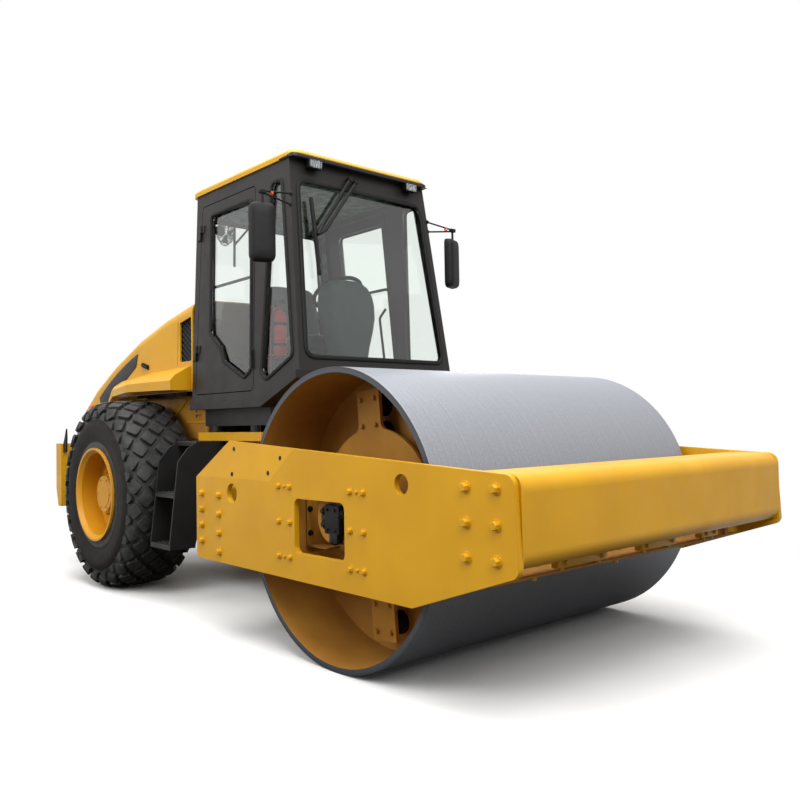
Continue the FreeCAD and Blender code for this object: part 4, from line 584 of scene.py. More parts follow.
# %% Blocks
TREAD_DEPTH = 0.027
TREAD_PITCHES, TREAD_COLUMN, OUTER_COLUMN = 24, 0.0885, 4
BLOCK_CORNERS = ((0, -1), (1, 0), (0, 1), (-1, 0))
LUG_CORNERS = ((-0.20, -0.80), (0.20, -0.80), (0.72, 0.02), (-0.72, 0.02))
CORNER_PULL, WAIST = 0.17, 0.09
TOP_SHARE, GROOVE_SHARE = 0.76, 0.86
BLOCK_EDGE = (
    # share of the patch, drop: the small round at the top, then the flank down into the groove
    (TOP_SHARE + 0.025, 0.0015), (TOP_SHARE + 0.035, 0.005), (GROOVE_SHARE + 0.02, TREAD_DEPTH + 0.004),
)
BLOCK_STEPS = 6


def tyre_vert(bm, side, turn, mark, drop):
    across, radius = section_point(mark, drop)
    return bm.verts.new((AXLE.x + radius * math.sin(turn), side * (TYRE_MIDDLE + across),
                         AXLE.z + radius * math.cos(turn)))


def add_block(bm, side, turn, mark, corners):
    """One block on four corners, given in half pitches round and columns across."""
    half_turn, inward = math.pi / TREAD_PITCHES, math.copysign(1, mark)
    middle = [sum(corner[n] for corner in corners) / 4 for n in (0, 1)]

    def vert(i, k, scale, drop):
        p, q = 2 * i / BLOCK_STEPS - 1, 2 * k / BLOCK_STEPS - 1
        waist = WAIST * ((1 - p * p) * q * q + (1 - q * q) * p * p)
        pull = scale * (1 - CORNER_PULL * abs(p * q) ** 3 - waist)
        weights = ((1 - p) * (1 - q), (1 + p) * (1 - q), (1 + p) * (1 + q), (1 - p) * (1 + q))
        a, b = [middle[n] + pull * (sum(w * corner[n] for w, corner in zip(weights, corners)) / 4 - middle[n])
                for n in (0, 1)]
        return tyre_vert(bm, side, turn + a * half_turn, mark + inward * b * TREAD_COLUMN, drop)

    steps = range(BLOCK_STEPS)
    top = [[vert(i, k, TOP_SHARE, 0.0) for k in range(BLOCK_STEPS + 1)] for i in range(BLOCK_STEPS + 1)]
    rim = [(i, 0) for i in steps] + [(BLOCK_STEPS, k) for k in steps]
    rim += [(BLOCK_STEPS - i, BLOCK_STEPS) for i in steps] + [(0, BLOCK_STEPS - k) for k in steps]
    loops = [[top[i][k] for i, k in rim]]
    loops += [[vert(i, k, scale, drop) for i, k in rim] for scale, drop in BLOCK_EDGE]
    skin(bm, top, closed=False)
    skin(bm, loops[::-1])


# %% Carcass
TREAD_END, TREAD_EASE = 0.41, 0.08
RIB_MARKS, RIB_HEIGHT, RIB_WIDTH = (0.425, 0.545), 0.0022, 0.005
FLANK_START, FLANK_END = 0.36, 0.53
CARCASS_STEPS, CARCASS_TURNS = 84, 120
CROWN_NUDGE = 1e-7


def carcass_drop(mark):
    """The tread's depth under the blocks, easing to nothing down the flank, with two mould ribs there."""
    ease = min(max((TREAD_END - abs(mark)) / TREAD_EASE, 0), 1)
    drop = TREAD_DEPTH * ease * ease * (3 - 2 * ease)
    for rib in RIB_MARKS:
        drop -= RIB_HEIGHT * math.exp(-((abs(mark) - rib) / RIB_WIDTH) ** 2)
    return drop


def draw_tyre(bm, side):
    marks = [SECTION_LENGTH * (2 * k / CARCASS_STEPS - 1) for k in range(CARCASS_STEPS + 1)]
    rings = [[tyre_vert(bm, side, math.tau * i / CARCASS_TURNS, mark, carcass_drop(mark)) for mark in marks]
             for i in range(CARCASS_TURNS)]
    for ring, after in zip(rings, rings[1:] + rings[:1]):
        for k in range(CARCASS_STEPS):
            face = bm.faces.new((ring[k], ring[k + 1], after[k + 1], after[k]))
            face.material_index = int(FLANK_START < abs(marks[k]) < FLANK_END)
    for column in range(-OUTER_COLUMN, OUTER_COLUMN + 1):
        corners = LUG_CORNERS if abs(column) == OUTER_COLUMN else BLOCK_CORNERS
        for n in range(TREAD_PITCHES):
            turn = (n + 0.5 * (column % 2)) * math.tau / TREAD_PITCHES
            # The nudge gives the crown's blocks a side to lean to
            add_block(bm, side, turn, column * TREAD_COLUMN + side * CROWN_NUDGE, corners)


tyres = drawn_pair("block_tread_tyre", draw_tyre, "wheel_{}", (tyre_rubber, flank_rubber), 32)
for tyre, (hand, _) in zip(tyres, SIDES):
    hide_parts(f"tyre_{hand}")
print(f"a tyre of {len(tyres[0].data.polygons)} faces")

# %% [markdown]
# ## Bolts and plugs of the drum frame
# The side plates are bolted to the beams and to the drum carriers with large hexagon bolts, sprayed over with
# the plates, so a head shows mostly by its bright top and the shade under it. The leaning panel behind has
# four threaded holes, closed with dark plugs. All heads of a side are one mesh.

# %% Side plate bolts
PLATE_FACE = 1.150
DRUM_X, DRUM_Z = DRUM_CENTRE.x, DRUM_CENTRE.z
REAR_BOLTS = [(0.438, z) for z in (0.835, 0.741, 0.647, 0.553)]
REAR_BOLTS += [(0.640, z) for z in (0.833, 0.724, 0.614, 0.505)]
FRONT_BOLTS = [(x, z) for x in (2.616, 2.777) for z in (0.972, 0.830, 0.690)]
CARRIER_BOLTS = [(DRUM_X + x, z) for x in (-0.25, -0.35, 0.25, 0.35) for z in (0.915, 0.732, 0.552)]
DOWELS = [(DRUM_X + x, z) for x in (-0.30, 0.30) for z in (0.915, 0.552)]
PLATE_BOLTS = (
    # places, size over the flats, washer
    (REAR_BOLTS, 0.031, True), (FRONT_BOLTS, 0.033, True),
    (CARRIER_BOLTS, 0.024, True), (DOWELS, 0.016, False),
)
PANEL_LEAN = math.radians(5.7)
PANEL_PLUGS = ((0.784, 1.133, 1.102), (1.261, 1.137, 1.060), (0.784, 1.148, 0.960), (1.156, 1.146, 0.978))
PLUG_SUNK = 0.002


def draw_plate_bolts(bm, side):
    for places, across, washer in PLATE_BOLTS:
        for x, z in places:
            add_bolt(bm, (x, side * PLATE_FACE, z), (0, side, 0), across, washer)


def draw_plugs(bm, side):
    out = Vector((0, side * math.cos(PANEL_LEAN), math.sin(PANEL_LEAN)))
    for x, y, z in PANEL_PLUGS:
        add_turned(bm, Vector((x, side * y, z)) - out * PLUG_SUNK, out,
                   ((0, 0), (0.0125, 0), (0.0125, 0.0035), (0.0100, 0.0042), (0.0085, 0.0025),
                    (0, 0.0025)), 20)


drawn_pair("plate_bolts", draw_plate_bolts, "front_frame", yellow_enamel)
drawn_pair("panel_plugs", draw_plugs, "front_frame", plug_steel)
print(f"{len(REAR_BOLTS + FRONT_BOLTS + CARRIER_BOLTS)} bolts a side")

# %% [markdown]
# ## Inside the drum
# Behind the window of each plate sits a travel motor: a dark casting with a ported head, fed by two bent
# steel pipes. The right one drives the yellow plate whose arms end on rubber buffers, bolted through.

# %% Travel motors and drive plate bolts
ARM_TILT = math.radians(5)
DRIVE_FACE = 0.780
MOTOR_START, MOTOR_HEAD = 0.80, 0.985
MOTOR_OUTLINE = ((0, 0), (0.150, 0), (0.155, 0.006), (0.155, 0.030), (0.136, 0.036), (0.136, 0.090),
                 (0.146, 0.098), (0.146, 0.128), (0.134, 0.136), (0.134, 0.215), (0.120, 0.235),
                 (0.085, 0.242), (0.080, 0.275), (0, 0.278))


def draw_motor(bm, side):
    out = ACROSS * side
    start = Vector((DRUM_X, side * MOTOR_START, DRUM_Z))
    add_turned(bm, start, out, MOTOR_OUTLINE, 40)
    for spot in circle(10, 0.137, start + out * 0.128):
        add_bolt(bm, spot, out, 0.016, washer=False)
    # Ported head with its relief valve and its pipes, inside the carrier's boss
    head = Vector((DRUM_X, side * MOTOR_HEAD, DRUM_Z))
    add_box(bm, head + Vector((-0.055, -0.055, 0.02)), head + Vector((0.115, 0.055, 0.125)), ease=0.008)
    add_turned(bm, head + Vector((0.115, 0, 0.085)), (1, 0, 0.2),
               ((0, 0), (0.026, 0), (0.026, 0.05), (0.018, 0.055), (0.018, 0.085), (0, 0.085)), 18)
    for x in (-0.020, 0.035):
        add_pipe(bm, moved(head, ((x, 0, 0.12), (x, 0, 0.17), (x - 0.24, 0, 0.165), (x - 0.315, 0, 0.10))),
                 0.04, 0.012, steps=4)


def draw_drive_bolts(bm):
    face = DRUM_CENTRE - ACROSS * DRIVE_FACE
    along = Vector((-math.sin(ARM_TILT), 0, math.cos(ARM_TILT)))
    beside = Vector((math.cos(ARM_TILT), 0, math.sin(ARM_TILT)))
    for reach in (0.465, 0.605, -0.465, -0.605):
        for step in (-0.055, 0.055):
            add_bolt(bm, face + along * reach + beside * step, -ACROSS, 0.022)
    for spot in circle(12, 0.20, face):
        add_bolt(bm, spot, -ACROSS, 0.024)


drawn_pair("travel_motor", draw_motor, "front_frame", motor_casting, 40)
# The drive plate's bolts take the darker yellow of painted shade and dust
drawn("drive_plate_bolts", draw_drive_bolts, "drum", shade_and_dust_enamel)


# %% Fittings in the plate's window
def draw_window_fittings(bm, side):
    low, high = side * 1.066, side * 1.108
    add_box(bm, (1.600, low, 0.690), (1.720, high, 0.835), ease=0.010)
    add_box(bm, (1.640, low, 0.645), (1.705, high, 0.700), ease=0.008)
    for x, z, reach in ((1.585, 0.800, 0.024), (1.590, 0.735, 0.028),
                        (1.715, 0.790, 0.026), (1.655, 0.655, 0.022)):
        add_turned(bm, (x, low, z), (0, side, 0), ((0, 0), (reach, 0), (reach, 0.026), (0.7 * reach, 0.034),
                                                   (0.45 * reach, 0.046), (0, 0.046)), 6)
    for x, z in ((1.628, 0.812), (1.690, 0.812), (1.628, 0.712), (1.690, 0.712)):
        add_bolt(bm, (x, high, z), (0, side, 0), 0.014, washer=False)
    # Flange of the carrier beside it, with two bolts, and the ledge under both; flange and ledge take the
    # darker yellow of painted shade and dust
    add_box(bm, (1.356, side * 1.000, 0.580), (1.364, side * 1.045, 0.900), ease=0.002, slot=1)
    add_box(bm, (1.356, side * 0.960, 0.596), (1.540, side * 1.045, 0.604), ease=0.002, slot=1)
    for z in (0.665, 0.790):
        add_bolt(bm, (1.364, side * 1.022, z), ALONG, 0.020)


drawn_pair("window_fittings", draw_window_fittings, "front_frame", (black_plastic, shade_and_dust_enamel),
           40)

# %% [markdown]
# ## Wheel centres
# Ten studs hold each wheel to its hub, in a ring in the shade of the dish, and a round cover closes the hub.
# They are small, but a dish without nuts looks like a toy's.


# %% Wheel nuts
def draw_wheel_nuts(bm, side):
    out = ACROSS * side
    for spot in circle(10, 0.205, AXLE + out * 0.925, start=math.pi / 10):
        add_bolt(bm, spot, out, 0.030)
        add_turned(bm, spot + out * 0.018, out, knob(0.0095, 0.012, 0.006, 0.015), 12)
    cover = AXLE + out * 1.018
    add_turned(bm, cover, out, ((0, 0), (0.105, 0), (0.103, 0.004), (0.060, 0.006), (0, 0.006)), 36)
    for spot in circle(6, 0.121, cover):
        add_bolt(bm, spot, out, 0.012, washer=False)


drawn_pair("wheel_nuts", draw_wheel_nuts, "wheel_{}", wheel_enamel)
print("wheel nuts on")

# %% [markdown]
# ## Window seals
# Each pane is held by a moulded rubber section that grips both the glass and the frame. From outside it is a
# black band with a rounded back, and the light catches its crown as a thin bright line. One function sweeps
# that section along the edge of an opening, whatever its corners.

# %% Seal helper
CAB_X, CAB_LOW = -0.600, 1.405
SIDE_FOOT, SIDE_SLOPE = 0.670, (0.670 - 0.588) / 1.55
SCREEN_FOOT, SCREEN_LOW, SCREEN_SLOPE = 1.365, 1.575, 0.189 / 1.38
REAR_SLOPE = 0.038 / 1.55
SEAL_SECTION = ((-0.5, -0.1), (-0.5, 0.45), (-0.38, 0.85), (-0.15, 1.0),
                (0.15, 1.0), (0.38, 0.85), (0.5, 0.45), (0.5, -0.1))


def add_seal(bm, corners, normal, width=0.026, height=0.009, radius=0.05):
    """A low rounded band along a closed line of corners, standing up along a normal."""
    line = rounded(corners, radius, 6)
    normal = Vector(normal).normalized()
    rings = []
    for i, here in enumerate(line):
        before, after = (here - line[i - 1]).normalized(), (line[(i + 1) % len(line)] - here).normalized()
        ahead = (before + after).normalized()
        beside = ahead.cross(normal).normalized() / max(ahead.dot(after), 0.5)
        rings.append(verts_at(bm, [here + beside * (a * width) + normal * (b * height)
                                   for a, b in SEAL_SECTION]))
    skin(bm, rings + rings[:1])


def on_side(side, x, z, out=0.0):
    """A point of the cab's leaning side, from its place along the cab and its height."""
    return Vector((CAB_X + x, side * (SIDE_FOOT - (z - CAB_LOW) * SIDE_SLOPE + out), z))


def on_screen(y, z, out=0.0):
    """A point of the leaning windscreen."""
    return Vector((CAB_X + SCREEN_FOOT - (z - SCREEN_LOW) * SCREEN_SLOPE + out, y, z))


def on_rear(y, z, out=0.0):
    """A point of the cab's rear wall."""
    return Vector((CAB_X - (z - CAB_LOW) * REAR_SLOPE - out, y, z))


# %% Seals round the panes
DOOR_PANE = ((0.185, 2.775), (0.740, 2.775), (0.806, 1.604), (0.721, 1.556), (0.441, 1.686), (0.376, 1.793),
             (0.231, 1.899))
QUARTER_PANE = ((0.980, 2.830), (1.105, 2.830), (1.290, 1.666), (0.988, 1.526), (0.930, 1.590))
SCREEN_PANE = ((-0.599, 1.657), (0.599, 1.657), (0.536, 2.815), (-0.536, 2.815))
REAR_PANE = ((-0.545, 1.750), (0.545, 1.750), (0.500, 2.790), (-0.500, 2.790))


def side_seal(pane, radius):
    """What draws the seal of a pane in the cab's side."""
    def draw(bm, side):
        add_seal(bm, [on_side(side, x, z) for x, z in pane], (0, side, SIDE_SLOPE), radius=radius)
    return draw


def draw_screen_seals(bm):
    add_seal(bm, [on_screen(y, z) for y, z in SCREEN_PANE], (1, 0, SCREEN_SLOPE), 0.030, 0.010, 0.07)
    add_seal(bm, [on_rear(y, z) for y, z in REAR_PANE], (-1, 0, -REAR_SLOPE), 0.028, 0.009, 0.06)


drawn_pair("door_seal", side_seal(DOOR_PANE, 0.04), "door_{}", seal_rubber, 50)
drawn_pair("quarter_seal", side_seal(QUARTER_PANE, 0.05), "body", seal_rubber, 50)
drawn("screen_seals", draw_screen_seals, "body", seal_rubber, 50)
print("panes sealed")

# %% [markdown]
# ## Wiper, lamps and mirrors
# The wiper hangs from the header on two parallel arms, so that its blade stays upright. The work lamps are
# black boxes with a silvered bowl behind a ribbed clear lens. Each mirror is a deep rounded housing on two
# thin bars from the pillar, with the glass set into its rear face.

# %% Wiper
WIPER_PIVOTS = ((0.612, -0.121, 2.884), (0.613, -0.071, 2.872))
WIPER_ELBOWS = ((0.672, -0.398, 2.526), (0.676, -0.377, 2.495))
WIPER_JOINT = (0.694, -0.452, 2.452)
WIPER_BAR = 0.0125


def draw_wiper(bm):
    for pivot, elbow in zip(WIPER_PIVOTS, WIPER_ELBOWS):
        add_turned(bm, Vector(pivot) - ALONG * 0.02, (1, 0, SCREEN_SLOPE),
                   ((0, 0), (0.017, 0), (0.017, 0.028), (0.013, 0.036), (0, 0.038)), 18)
        add_tube(bm, (pivot, elbow), WIPER_BAR, 10)
        add_tube(bm, (elbow, WIPER_JOINT), WIPER_BAR, 10)
    # Blade: a stiff bridge over a rubber strip that lies on the glass
    low, high = on_screen(-0.450, 2.190, 0.022), on_screen(-0.459, 2.700, 0.022)
    middle = (low + high) / 2 + ALONG * 0.006
    add_tube(bm, (low, low * 0.7 + middle * 0.3, middle, high * 0.7 + middle * 0.3, high), WIPER_BAR, 10)
    add_tube(bm, (low - ALONG * 0.014, high - ALONG * 0.014), 0.0055, 6)
    # The rear pane has a shorter one on a single arm
    low, high = on_rear(-0.272, 2.470, 0.020), on_rear(-0.262, 2.800, 0.020)
    root = on_rear(-0.100, 2.835, 0.012)
    add_tube(bm, (low, high), 0.010, 8)
    add_tube(bm, (root, on_rear(-0.265, 2.640, 0.030)), 0.009, 8)
    add_turned(bm, root, -ALONG, knob(0.020, 0.014, 0.014, 0.022), 18)


drawn("wiper", draw_wiper, "body", black_plastic)

# %% Roof edge strip and painted shade
ROOF_FRONT, ROOF_HALF, ROOF_LOW, ROOF_CORNER = 0.628, 0.600, 2.955, 0.060
STRIP_BACK = 0.480
STRIP_SECTION = ((-0.004, -0.002), (0.0020, -0.002), (0.0030, 0.002),
                 (0.0030, 0.020), (0.0015, 0.022), (-0.004, 0.022))


def draw_roof_edge_strip_and_shade(bm):
    # A dark strip under the cap's front edge and round its corners, and a dark sheet under its overhang:
    # part drip strip, part painted shade of the overhang, so that only a thin line of yellow shows
    add_box(bm, (0.545, -0.592, ROOF_LOW - 0.0022), (ROOF_FRONT - 0.002, 0.592, ROOF_LOW + 0.0005))
    path = rounded([(STRIP_BACK, -ROOF_HALF, 0), (ROOF_FRONT, -ROOF_HALF, 0), (ROOF_FRONT, ROOF_HALF, 0),
                    (STRIP_BACK, ROOF_HALF, 0)], ROOF_CORNER, 8, False)
    last = len(path) - 1
    rings = []
    for i, here in enumerate(path):
        ahead = (path[min(i + 1, last)] - path[max(i - 1, 0)]).normalized()
        out = Vector((ahead.y, -ahead.x, 0))
        height = 0.3 + 0.7 * min(1.0, min(i, last - i) / 4)
        rings.append(verts_at(bm, [here + out * reach + UP * (ROOF_LOW + rise * height)
                                   for reach, rise in STRIP_SECTION]))
    skin(bm, rings, caps=True)


drawn("roof_edge_strip_and_painted_shade", draw_roof_edge_strip_and_shade, "body", cab_enamel, 40)

# %% Work lamps
LAMP_Y, LAMP_HALF, LAMP_LOW, LAMP_HIGH, LAMP_FACE = 0.422, 0.054, 2.895, 2.953, 0.6448
LAMP_SHELL = ((0.590, 0.80, 0.75), (0.606, 1.0, 1.0), (0.6440, 1.0, 1.0), (0.6448, 0.93, 0.89))
LAMP_BOWL = ((0.6440, 0.90, 0.90), (0.625, 0.72, 0.72), (0.612, 0.30, 0.30))


def draw_lamp(bm, side):
    y = side * LAMP_Y
    centre = Vector((0, y, (LAMP_LOW + LAMP_HIGH) / 2))
    front = rounded([(LAMP_FACE, y - LAMP_HALF, LAMP_LOW), (LAMP_FACE, y + LAMP_HALF, LAMP_LOW),
                     (LAMP_FACE, y + LAMP_HALF, LAMP_HIGH), (LAMP_FACE, y - LAMP_HALF, LAMP_HIGH)], 0.012, 4)
    shell, bowl = [[verts_at(bm, scaled(front, x, centre, wide, tall)) for x, wide, tall in rows]
                   for rows in (LAMP_SHELL, LAMP_BOWL)]
    bm.faces.new(shell[0][::-1])
    skin(bm, shell)
    # Silvered bowl, then the lens with upright ribs
    skin(bm, bowl, 1)
    bm.faces.new(bowl[-1]).material_index = 1
    for k in range(7):
        rib = y + (k - 3) * 0.0130
        add_box(bm, (0.6430, rib - 0.0066, LAMP_LOW + 0.004), (0.6462, rib + 0.0066, LAMP_HIGH - 0.004),
                0.0013, 2)


work_lamps = drawn("clear_work_lamps", both_sides(draw_lamp), "body",
                   (black_plastic, mirror_silver, clear_lens), 40)
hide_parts("work_lamps")

# %% Mirrors
MIRROR_Y, MIRROR_LOW, MIRROR_HIGH, MIRROR_BACK = 0.833, 2.240, 2.610, 0.610
MIRROR_TURN = math.radians(20)
MIRROR_SHAPE = (
    # depth, share of the width, share of the height: rim, waist and a domed front
    (0.000, 0.93, 0.97), (0.000, 1.00, 1.00), (0.010, 1.00, 1.00), (0.034, 0.97, 0.985), (0.050, 0.88, 0.94),
    (0.058, 0.70, 0.86), (0.060, 0.35, 0.60),
)
STEM_X, KNEE = 0.642, 2.672


def draw_mirror(bm, side):
    y, z = side * MIRROR_Y, (MIRROR_LOW + MIRROR_HIGH) / 2
    outline = rounded([(0, y + a * 0.082, z + b * 0.184)
                       for a, b in ((-1, -1), (1, -1), (1, 1), (-1, 1))], 0.045, 7)
    centre = Vector((0, y, z))
    axis = Matrix.Translation((STEM_X, y, 0))
    turn = axis @ Matrix.Rotation(side * MIRROR_TURN, 4, "Z") @ axis.inverted()

    def ring(deep, wide, tall):
        return verts_at(bm, [turn @ p for p in scaled(outline, MIRROR_BACK + deep, centre, wide, tall)])

    rings = [ring(*row) for row in MIRROR_SHAPE]
    skin(bm, rings)
    bm.faces.new(rings[-1])
    bm.faces.new(ring(0.002, 0.93, 0.97)[::-1]).material_index = 1
    # Stem, knee block and the two bars from the pillar
    add_tube(bm, ((STEM_X, y, z + 0.05), (STEM_X, y, KNEE + 0.012)), 0.0085, 10)
    add_box(bm, (STEM_X - 0.014, y - 0.024, KNEE - 0.012), (STEM_X + 0.014, y + 0.024, KNEE + 0.014),
            ease=0.004)
    for rise in (-1, 1):
        root = on_side(side, 1.212, KNEE + rise * 0.036, -0.004)
        add_tube(bm, (root, (STEM_X, y - side * 0.004, KNEE + rise * 0.006)), 0.0062, 8)
        add_turned(bm, root, (0, side, 0), knob(0.014, 0.008, 0.010, 0.012), 14)
    add_turned(bm, (STEM_X, y - side * 0.075, KNEE), (0, side, 0),
               ((0.011, 0), (0.0125, 0.001), (0.0125, 0.013), (0.011, 0.014), (0.011, 0)), 14, 2)


cab_mirrors = drawn("cab_mirrors", both_sides(draw_mirror), "body",
                    (black_plastic, mirror_silver, orange_lens), 40)
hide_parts("mirrors")
print("wiper, lamps and mirrors fitted")

# %% [markdown]
# ## Door furniture
# A door has a lever handle at its front edge and two grab bars inside. The bars of the left door show through
# both panes, so they are as long and as bent as the real ones.

# %% Handles and bars
DOOR_INNER, BAR_DEPTH = -0.045, -0.075
GRAB_BARS = (
    # bend, radius, corners as place along the cab, height, distance from its side
    (0.03, 0.011, ((0.10, 2.255, DOOR_INNER), (0.10, 2.255, BAR_DEPTH),
                   (0.785, 2.262, BAR_DEPTH), (0.785, 2.262, DOOR_INNER))),
    (0.05, 0.010, ((0.745, 1.64, DOOR_INNER), (0.735, 1.66, BAR_DEPTH),
                   (0.700, 2.05, BAR_DEPTH), (0.745, 2.12, DOOR_INNER))),
)


def draw_door_furniture(bm, side):
    low, high = on_side(side, 0.828, 1.605), on_side(side, 0.812, 1.752)
    out = Vector((0, side, SIDE_SLOPE)).normalized()
    # Recess plate with a lever over it
    for width, lift, inset in ((0.021, 0.004, 0.0), (0.009, 0.016, 0.012)):
        outline = rounded([end + ALONG * (way * width) + UP * rise for end, way, rise in (
            (low, -1, inset), (low, 1, inset), (high, 1, -inset), (high, -1, -inset))], 0.009, 4)
        plate = [verts_at(bm, [p + out * height for p in outline]) for height in (-0.002, lift)]
        bm.faces.new(plate[1])
        skin(bm, plate)
    for bend, radius, corners in GRAB_BARS:
        add_pipe(bm, [on_side(side, *corner) for corner in corners], bend, radius)


drawn_pair("door_furniture", draw_door_furniture, "door_{}", black_plastic)

# %% [markdown]
# ## Operator's place
# The seat is foam under black vinyl: a crowned cushion and a backrest with bolsters, on a suspension base
# hidden by a folded rubber bellows. Foam pushes its cover out everywhere except where seams pull it in, so
# the pads start as a rounded box and each point then moves in or out by its distance from the seams.

# %% Pads
PAD_ROWS, PAD_COLUMNS = 40, 64
ROUND_UP, ROUND_ACROSS, ROUND_TOP = 0.28, 0.38, 0.45
SEAM_DEPTH = SEAM_WIDTH = 0.010


def power(value, sharpness):
    return math.copysign(abs(value) ** sharpness, value)


def pad_mesh(name, size, seams, crown, place, lean=0.0):
    """A padded block: a rounded box with its top crowned and its sewn channels pulled in."""
    half = Vector(size) / 2

    def pad_point(up, turn):
        point = Vector((power(math.cos(up), ROUND_UP) * power(math.cos(turn), ROUND_ACROSS) * half.x,
                        power(math.cos(up), ROUND_UP) * power(math.sin(turn), ROUND_ACROSS) * half.y,
                        power(math.sin(up), ROUND_TOP) * half.z))
        a, b = point.x / half.x, point.y / half.y
        point.z *= 1 + crown * (1 - a * a) * (1 - b * b)
        if point.z > 0:
            pull = sum(math.exp(-(((a, b)[axis] - at) * half[axis] / SEAM_WIDTH) ** 2) for axis, at in seams)
            point.z -= SEAM_DEPTH * min(pull, 1)
        return point

    def draw(bm):
        move = Matrix.Translation(place) @ Matrix.Rotation(lean, 4, "Y")
        rings = [verts_at(bm, [move @ pad_point(math.pi * (i / PAD_ROWS - 0.5), math.tau * k / PAD_COLUMNS)
                               for k in range(PAD_COLUMNS)]) for i in range(1, PAD_ROWS)]
        ends = verts_at(bm, [move @ pad_point(math.pi * share, 0) for share in (-0.5, 0.5)])
        skin(bm, rings)
        for k in range(PAD_COLUMNS):
            m = (k + 1) % PAD_COLUMNS
            bm.faces.new((ends[0], rings[0][m], rings[0][k]))
            bm.faces.new((ends[1], rings[-1][k], rings[-1][m]))

    pad = drawn(name, draw, "body", seat_vinyl, 80)
    return pad


seat_cushion = pad_mesh("seat_cushion", (0.500, 0.485, 0.120), ((1, -0.62), (1, 0.62), (0, -0.15), (0, 0.45)),
                        0.16, (-0.020, 0, 1.815))
seat_backrest = pad_mesh("seat_backrest", (0.440, 0.455, 0.115),
                         ((1, -0.60), (1, 0.60), (0, -0.35), (0, 0.30)),
                         0.18, (-0.284, 0, 2.065), math.radians(-100.5))

# %% Seat base
BELLOWS_LOW, BELLOWS_HEIGHT, BELLOWS_FOLDS = 1.500, 0.235, 22


def draw_seat_base(bm):
    # Suspension bellows: a box whose outline swells and shrinks in folds
    base = rounded([(-0.21, -0.19, 0), (0.17, -0.19, 0), (0.17, 0.19, 0), (-0.21, 0.19, 0)], 0.05, 5)
    centre = ALONG * -0.02
    rings = []
    for k in range(BELLOWS_FOLDS + 1):
        swell = 1.0 if k in (0, BELLOWS_FOLDS) else (0.93, 1.02)[k % 2]
        height = UP * (BELLOWS_LOW + BELLOWS_HEIGHT * k / BELLOWS_FOLDS)
        rings.append(verts_at(bm, [centre + (p - centre) * swell + height for p in base]))
    skin(bm, rings)
    add_box(bm, (-0.24, -0.20, 1.447), (0.19, 0.20, 1.503), ease=0.008)
    add_box(bm, (-0.25, -0.22, 1.735), (0.20, 0.22, 1.764), ease=0.010)
    # Armrests on their struts
    for y in (-0.238, 0.238):
        add_pipe(bm, ((-0.30, y, 2.03), (-0.26, y, 2.045), (0.06, y, 2.045)), 0.03, 0.024, 12, 4, 0.6)
        add_tube(bm, ((-0.20, y * 0.236 / 0.238, 1.76), (-0.24, y, 2.035)), 0.012, 8)


seat_base = drawn("seat_base", draw_seat_base, "body", buffer_rubber, 30)
for piece in (seat_base, seat_cushion, seat_backrest):
    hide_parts("seat")

# %% [markdown]
# ## Steering console
# In front of the operator a bulging cowl covers the column and carries the gauges; from outside it is the
# large dark shape behind the windscreen. The wheel has a soft grip rim on three spokes.

# %% Console and wheel
WHEEL_PLACE, WHEEL_TILT, WHEEL_RADIUS = Vector((0.300, 0, 2.165)), math.radians(30), 0.175
COWL_Y = -0.050
COWL_SHAPE = (
    # height, fore and aft edges, half width: from the floor up
    (1.468, 0.400, 0.545, 0.105), (1.490, 0.390, 0.560, 0.120), (1.600, 0.395, 0.566, 0.135),
    (1.760, 0.402, 0.568, 0.170), (1.880, 0.404, 0.566, 0.212), (1.970, 0.402, 0.562, 0.236),
    (2.060, 0.402, 0.550, 0.242), (2.130, 0.406, 0.538, 0.228), (2.180, 0.416, 0.524, 0.196),
    (2.210, 0.430, 0.508, 0.148), (2.224, 0.446, 0.490, 0.084),
)
GAUGES = ((-0.085, 0.034), (0.0, 0.042), (0.085, 0.034))


def draw_console(bm):
    rings = []
    for z, back, front, half in COWL_SHAPE:
        corners = [(x, COWL_Y + half * share, z)
                   for x, share in ((back, -1), (front, -0.8), (front, 0.8), (back, 1))]
        rings.append(verts_at(bm, rounded(corners, min(0.07, half * 0.7), 6)))
    skin(bm, rings, caps=True)
    turn = Matrix.Translation((0.402, COWL_Y, 2.060)) @ Matrix.Rotation(math.radians(-85), 4, "Y")
    for y, radius in GAUGES:
        add_turned(bm, turn @ Vector((0.0, y, -0.012)), turn.to_3x3() @ UP,
                   ((0, 0.010), (radius * 0.85, 0.010), (radius * 0.9, 0.018), (radius, 0.018),
                    (radius, 0)), 24, 1)
    # Column, wheel rim, spokes and hub
    axis = Vector((-math.sin(WHEEL_TILT), 0, math.cos(WHEEL_TILT)))
    ahead = Vector((math.cos(WHEEL_TILT), 0, math.sin(WHEEL_TILT)))
    add_tube(bm, (WHEEL_PLACE - axis * 0.01, WHEEL_PLACE - axis * 0.20), 0.028, 16)
    add_tube(bm, circle(48, WHEEL_RADIUS, WHEEL_PLACE, ahead, ACROSS), 0.0145, 12, closed=True, slot=2)
    for end in circle(3, WHEEL_RADIUS - 0.006, WHEEL_PLACE, ahead, ACROSS, math.pi):
        add_tube(bm, (WHEEL_PLACE, end), 0.0095, 8, slot=2, flat=0.5)
    add_turned(bm, WHEEL_PLACE - axis * 0.018, axis,
               ((0, 0), (0.042, 0), (0.046, 0.008), (0.044, 0.028), (0.030, 0.036), (0, 0.038)), 28, 2)


console = drawn("steering_console", draw_console, "body", (grey_plastic, clear_lens, black_plastic),
                40)
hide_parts("steering_stand")
print("operator's place furnished")

# %% [markdown]
# ## Lining and cabin fittings
# The ceiling and the rear pillars are lined with flecked felt. A small fan hangs in the rear right corner and
# a red extinguisher stands in a bracket by the right front pillar; both show through the side panes.

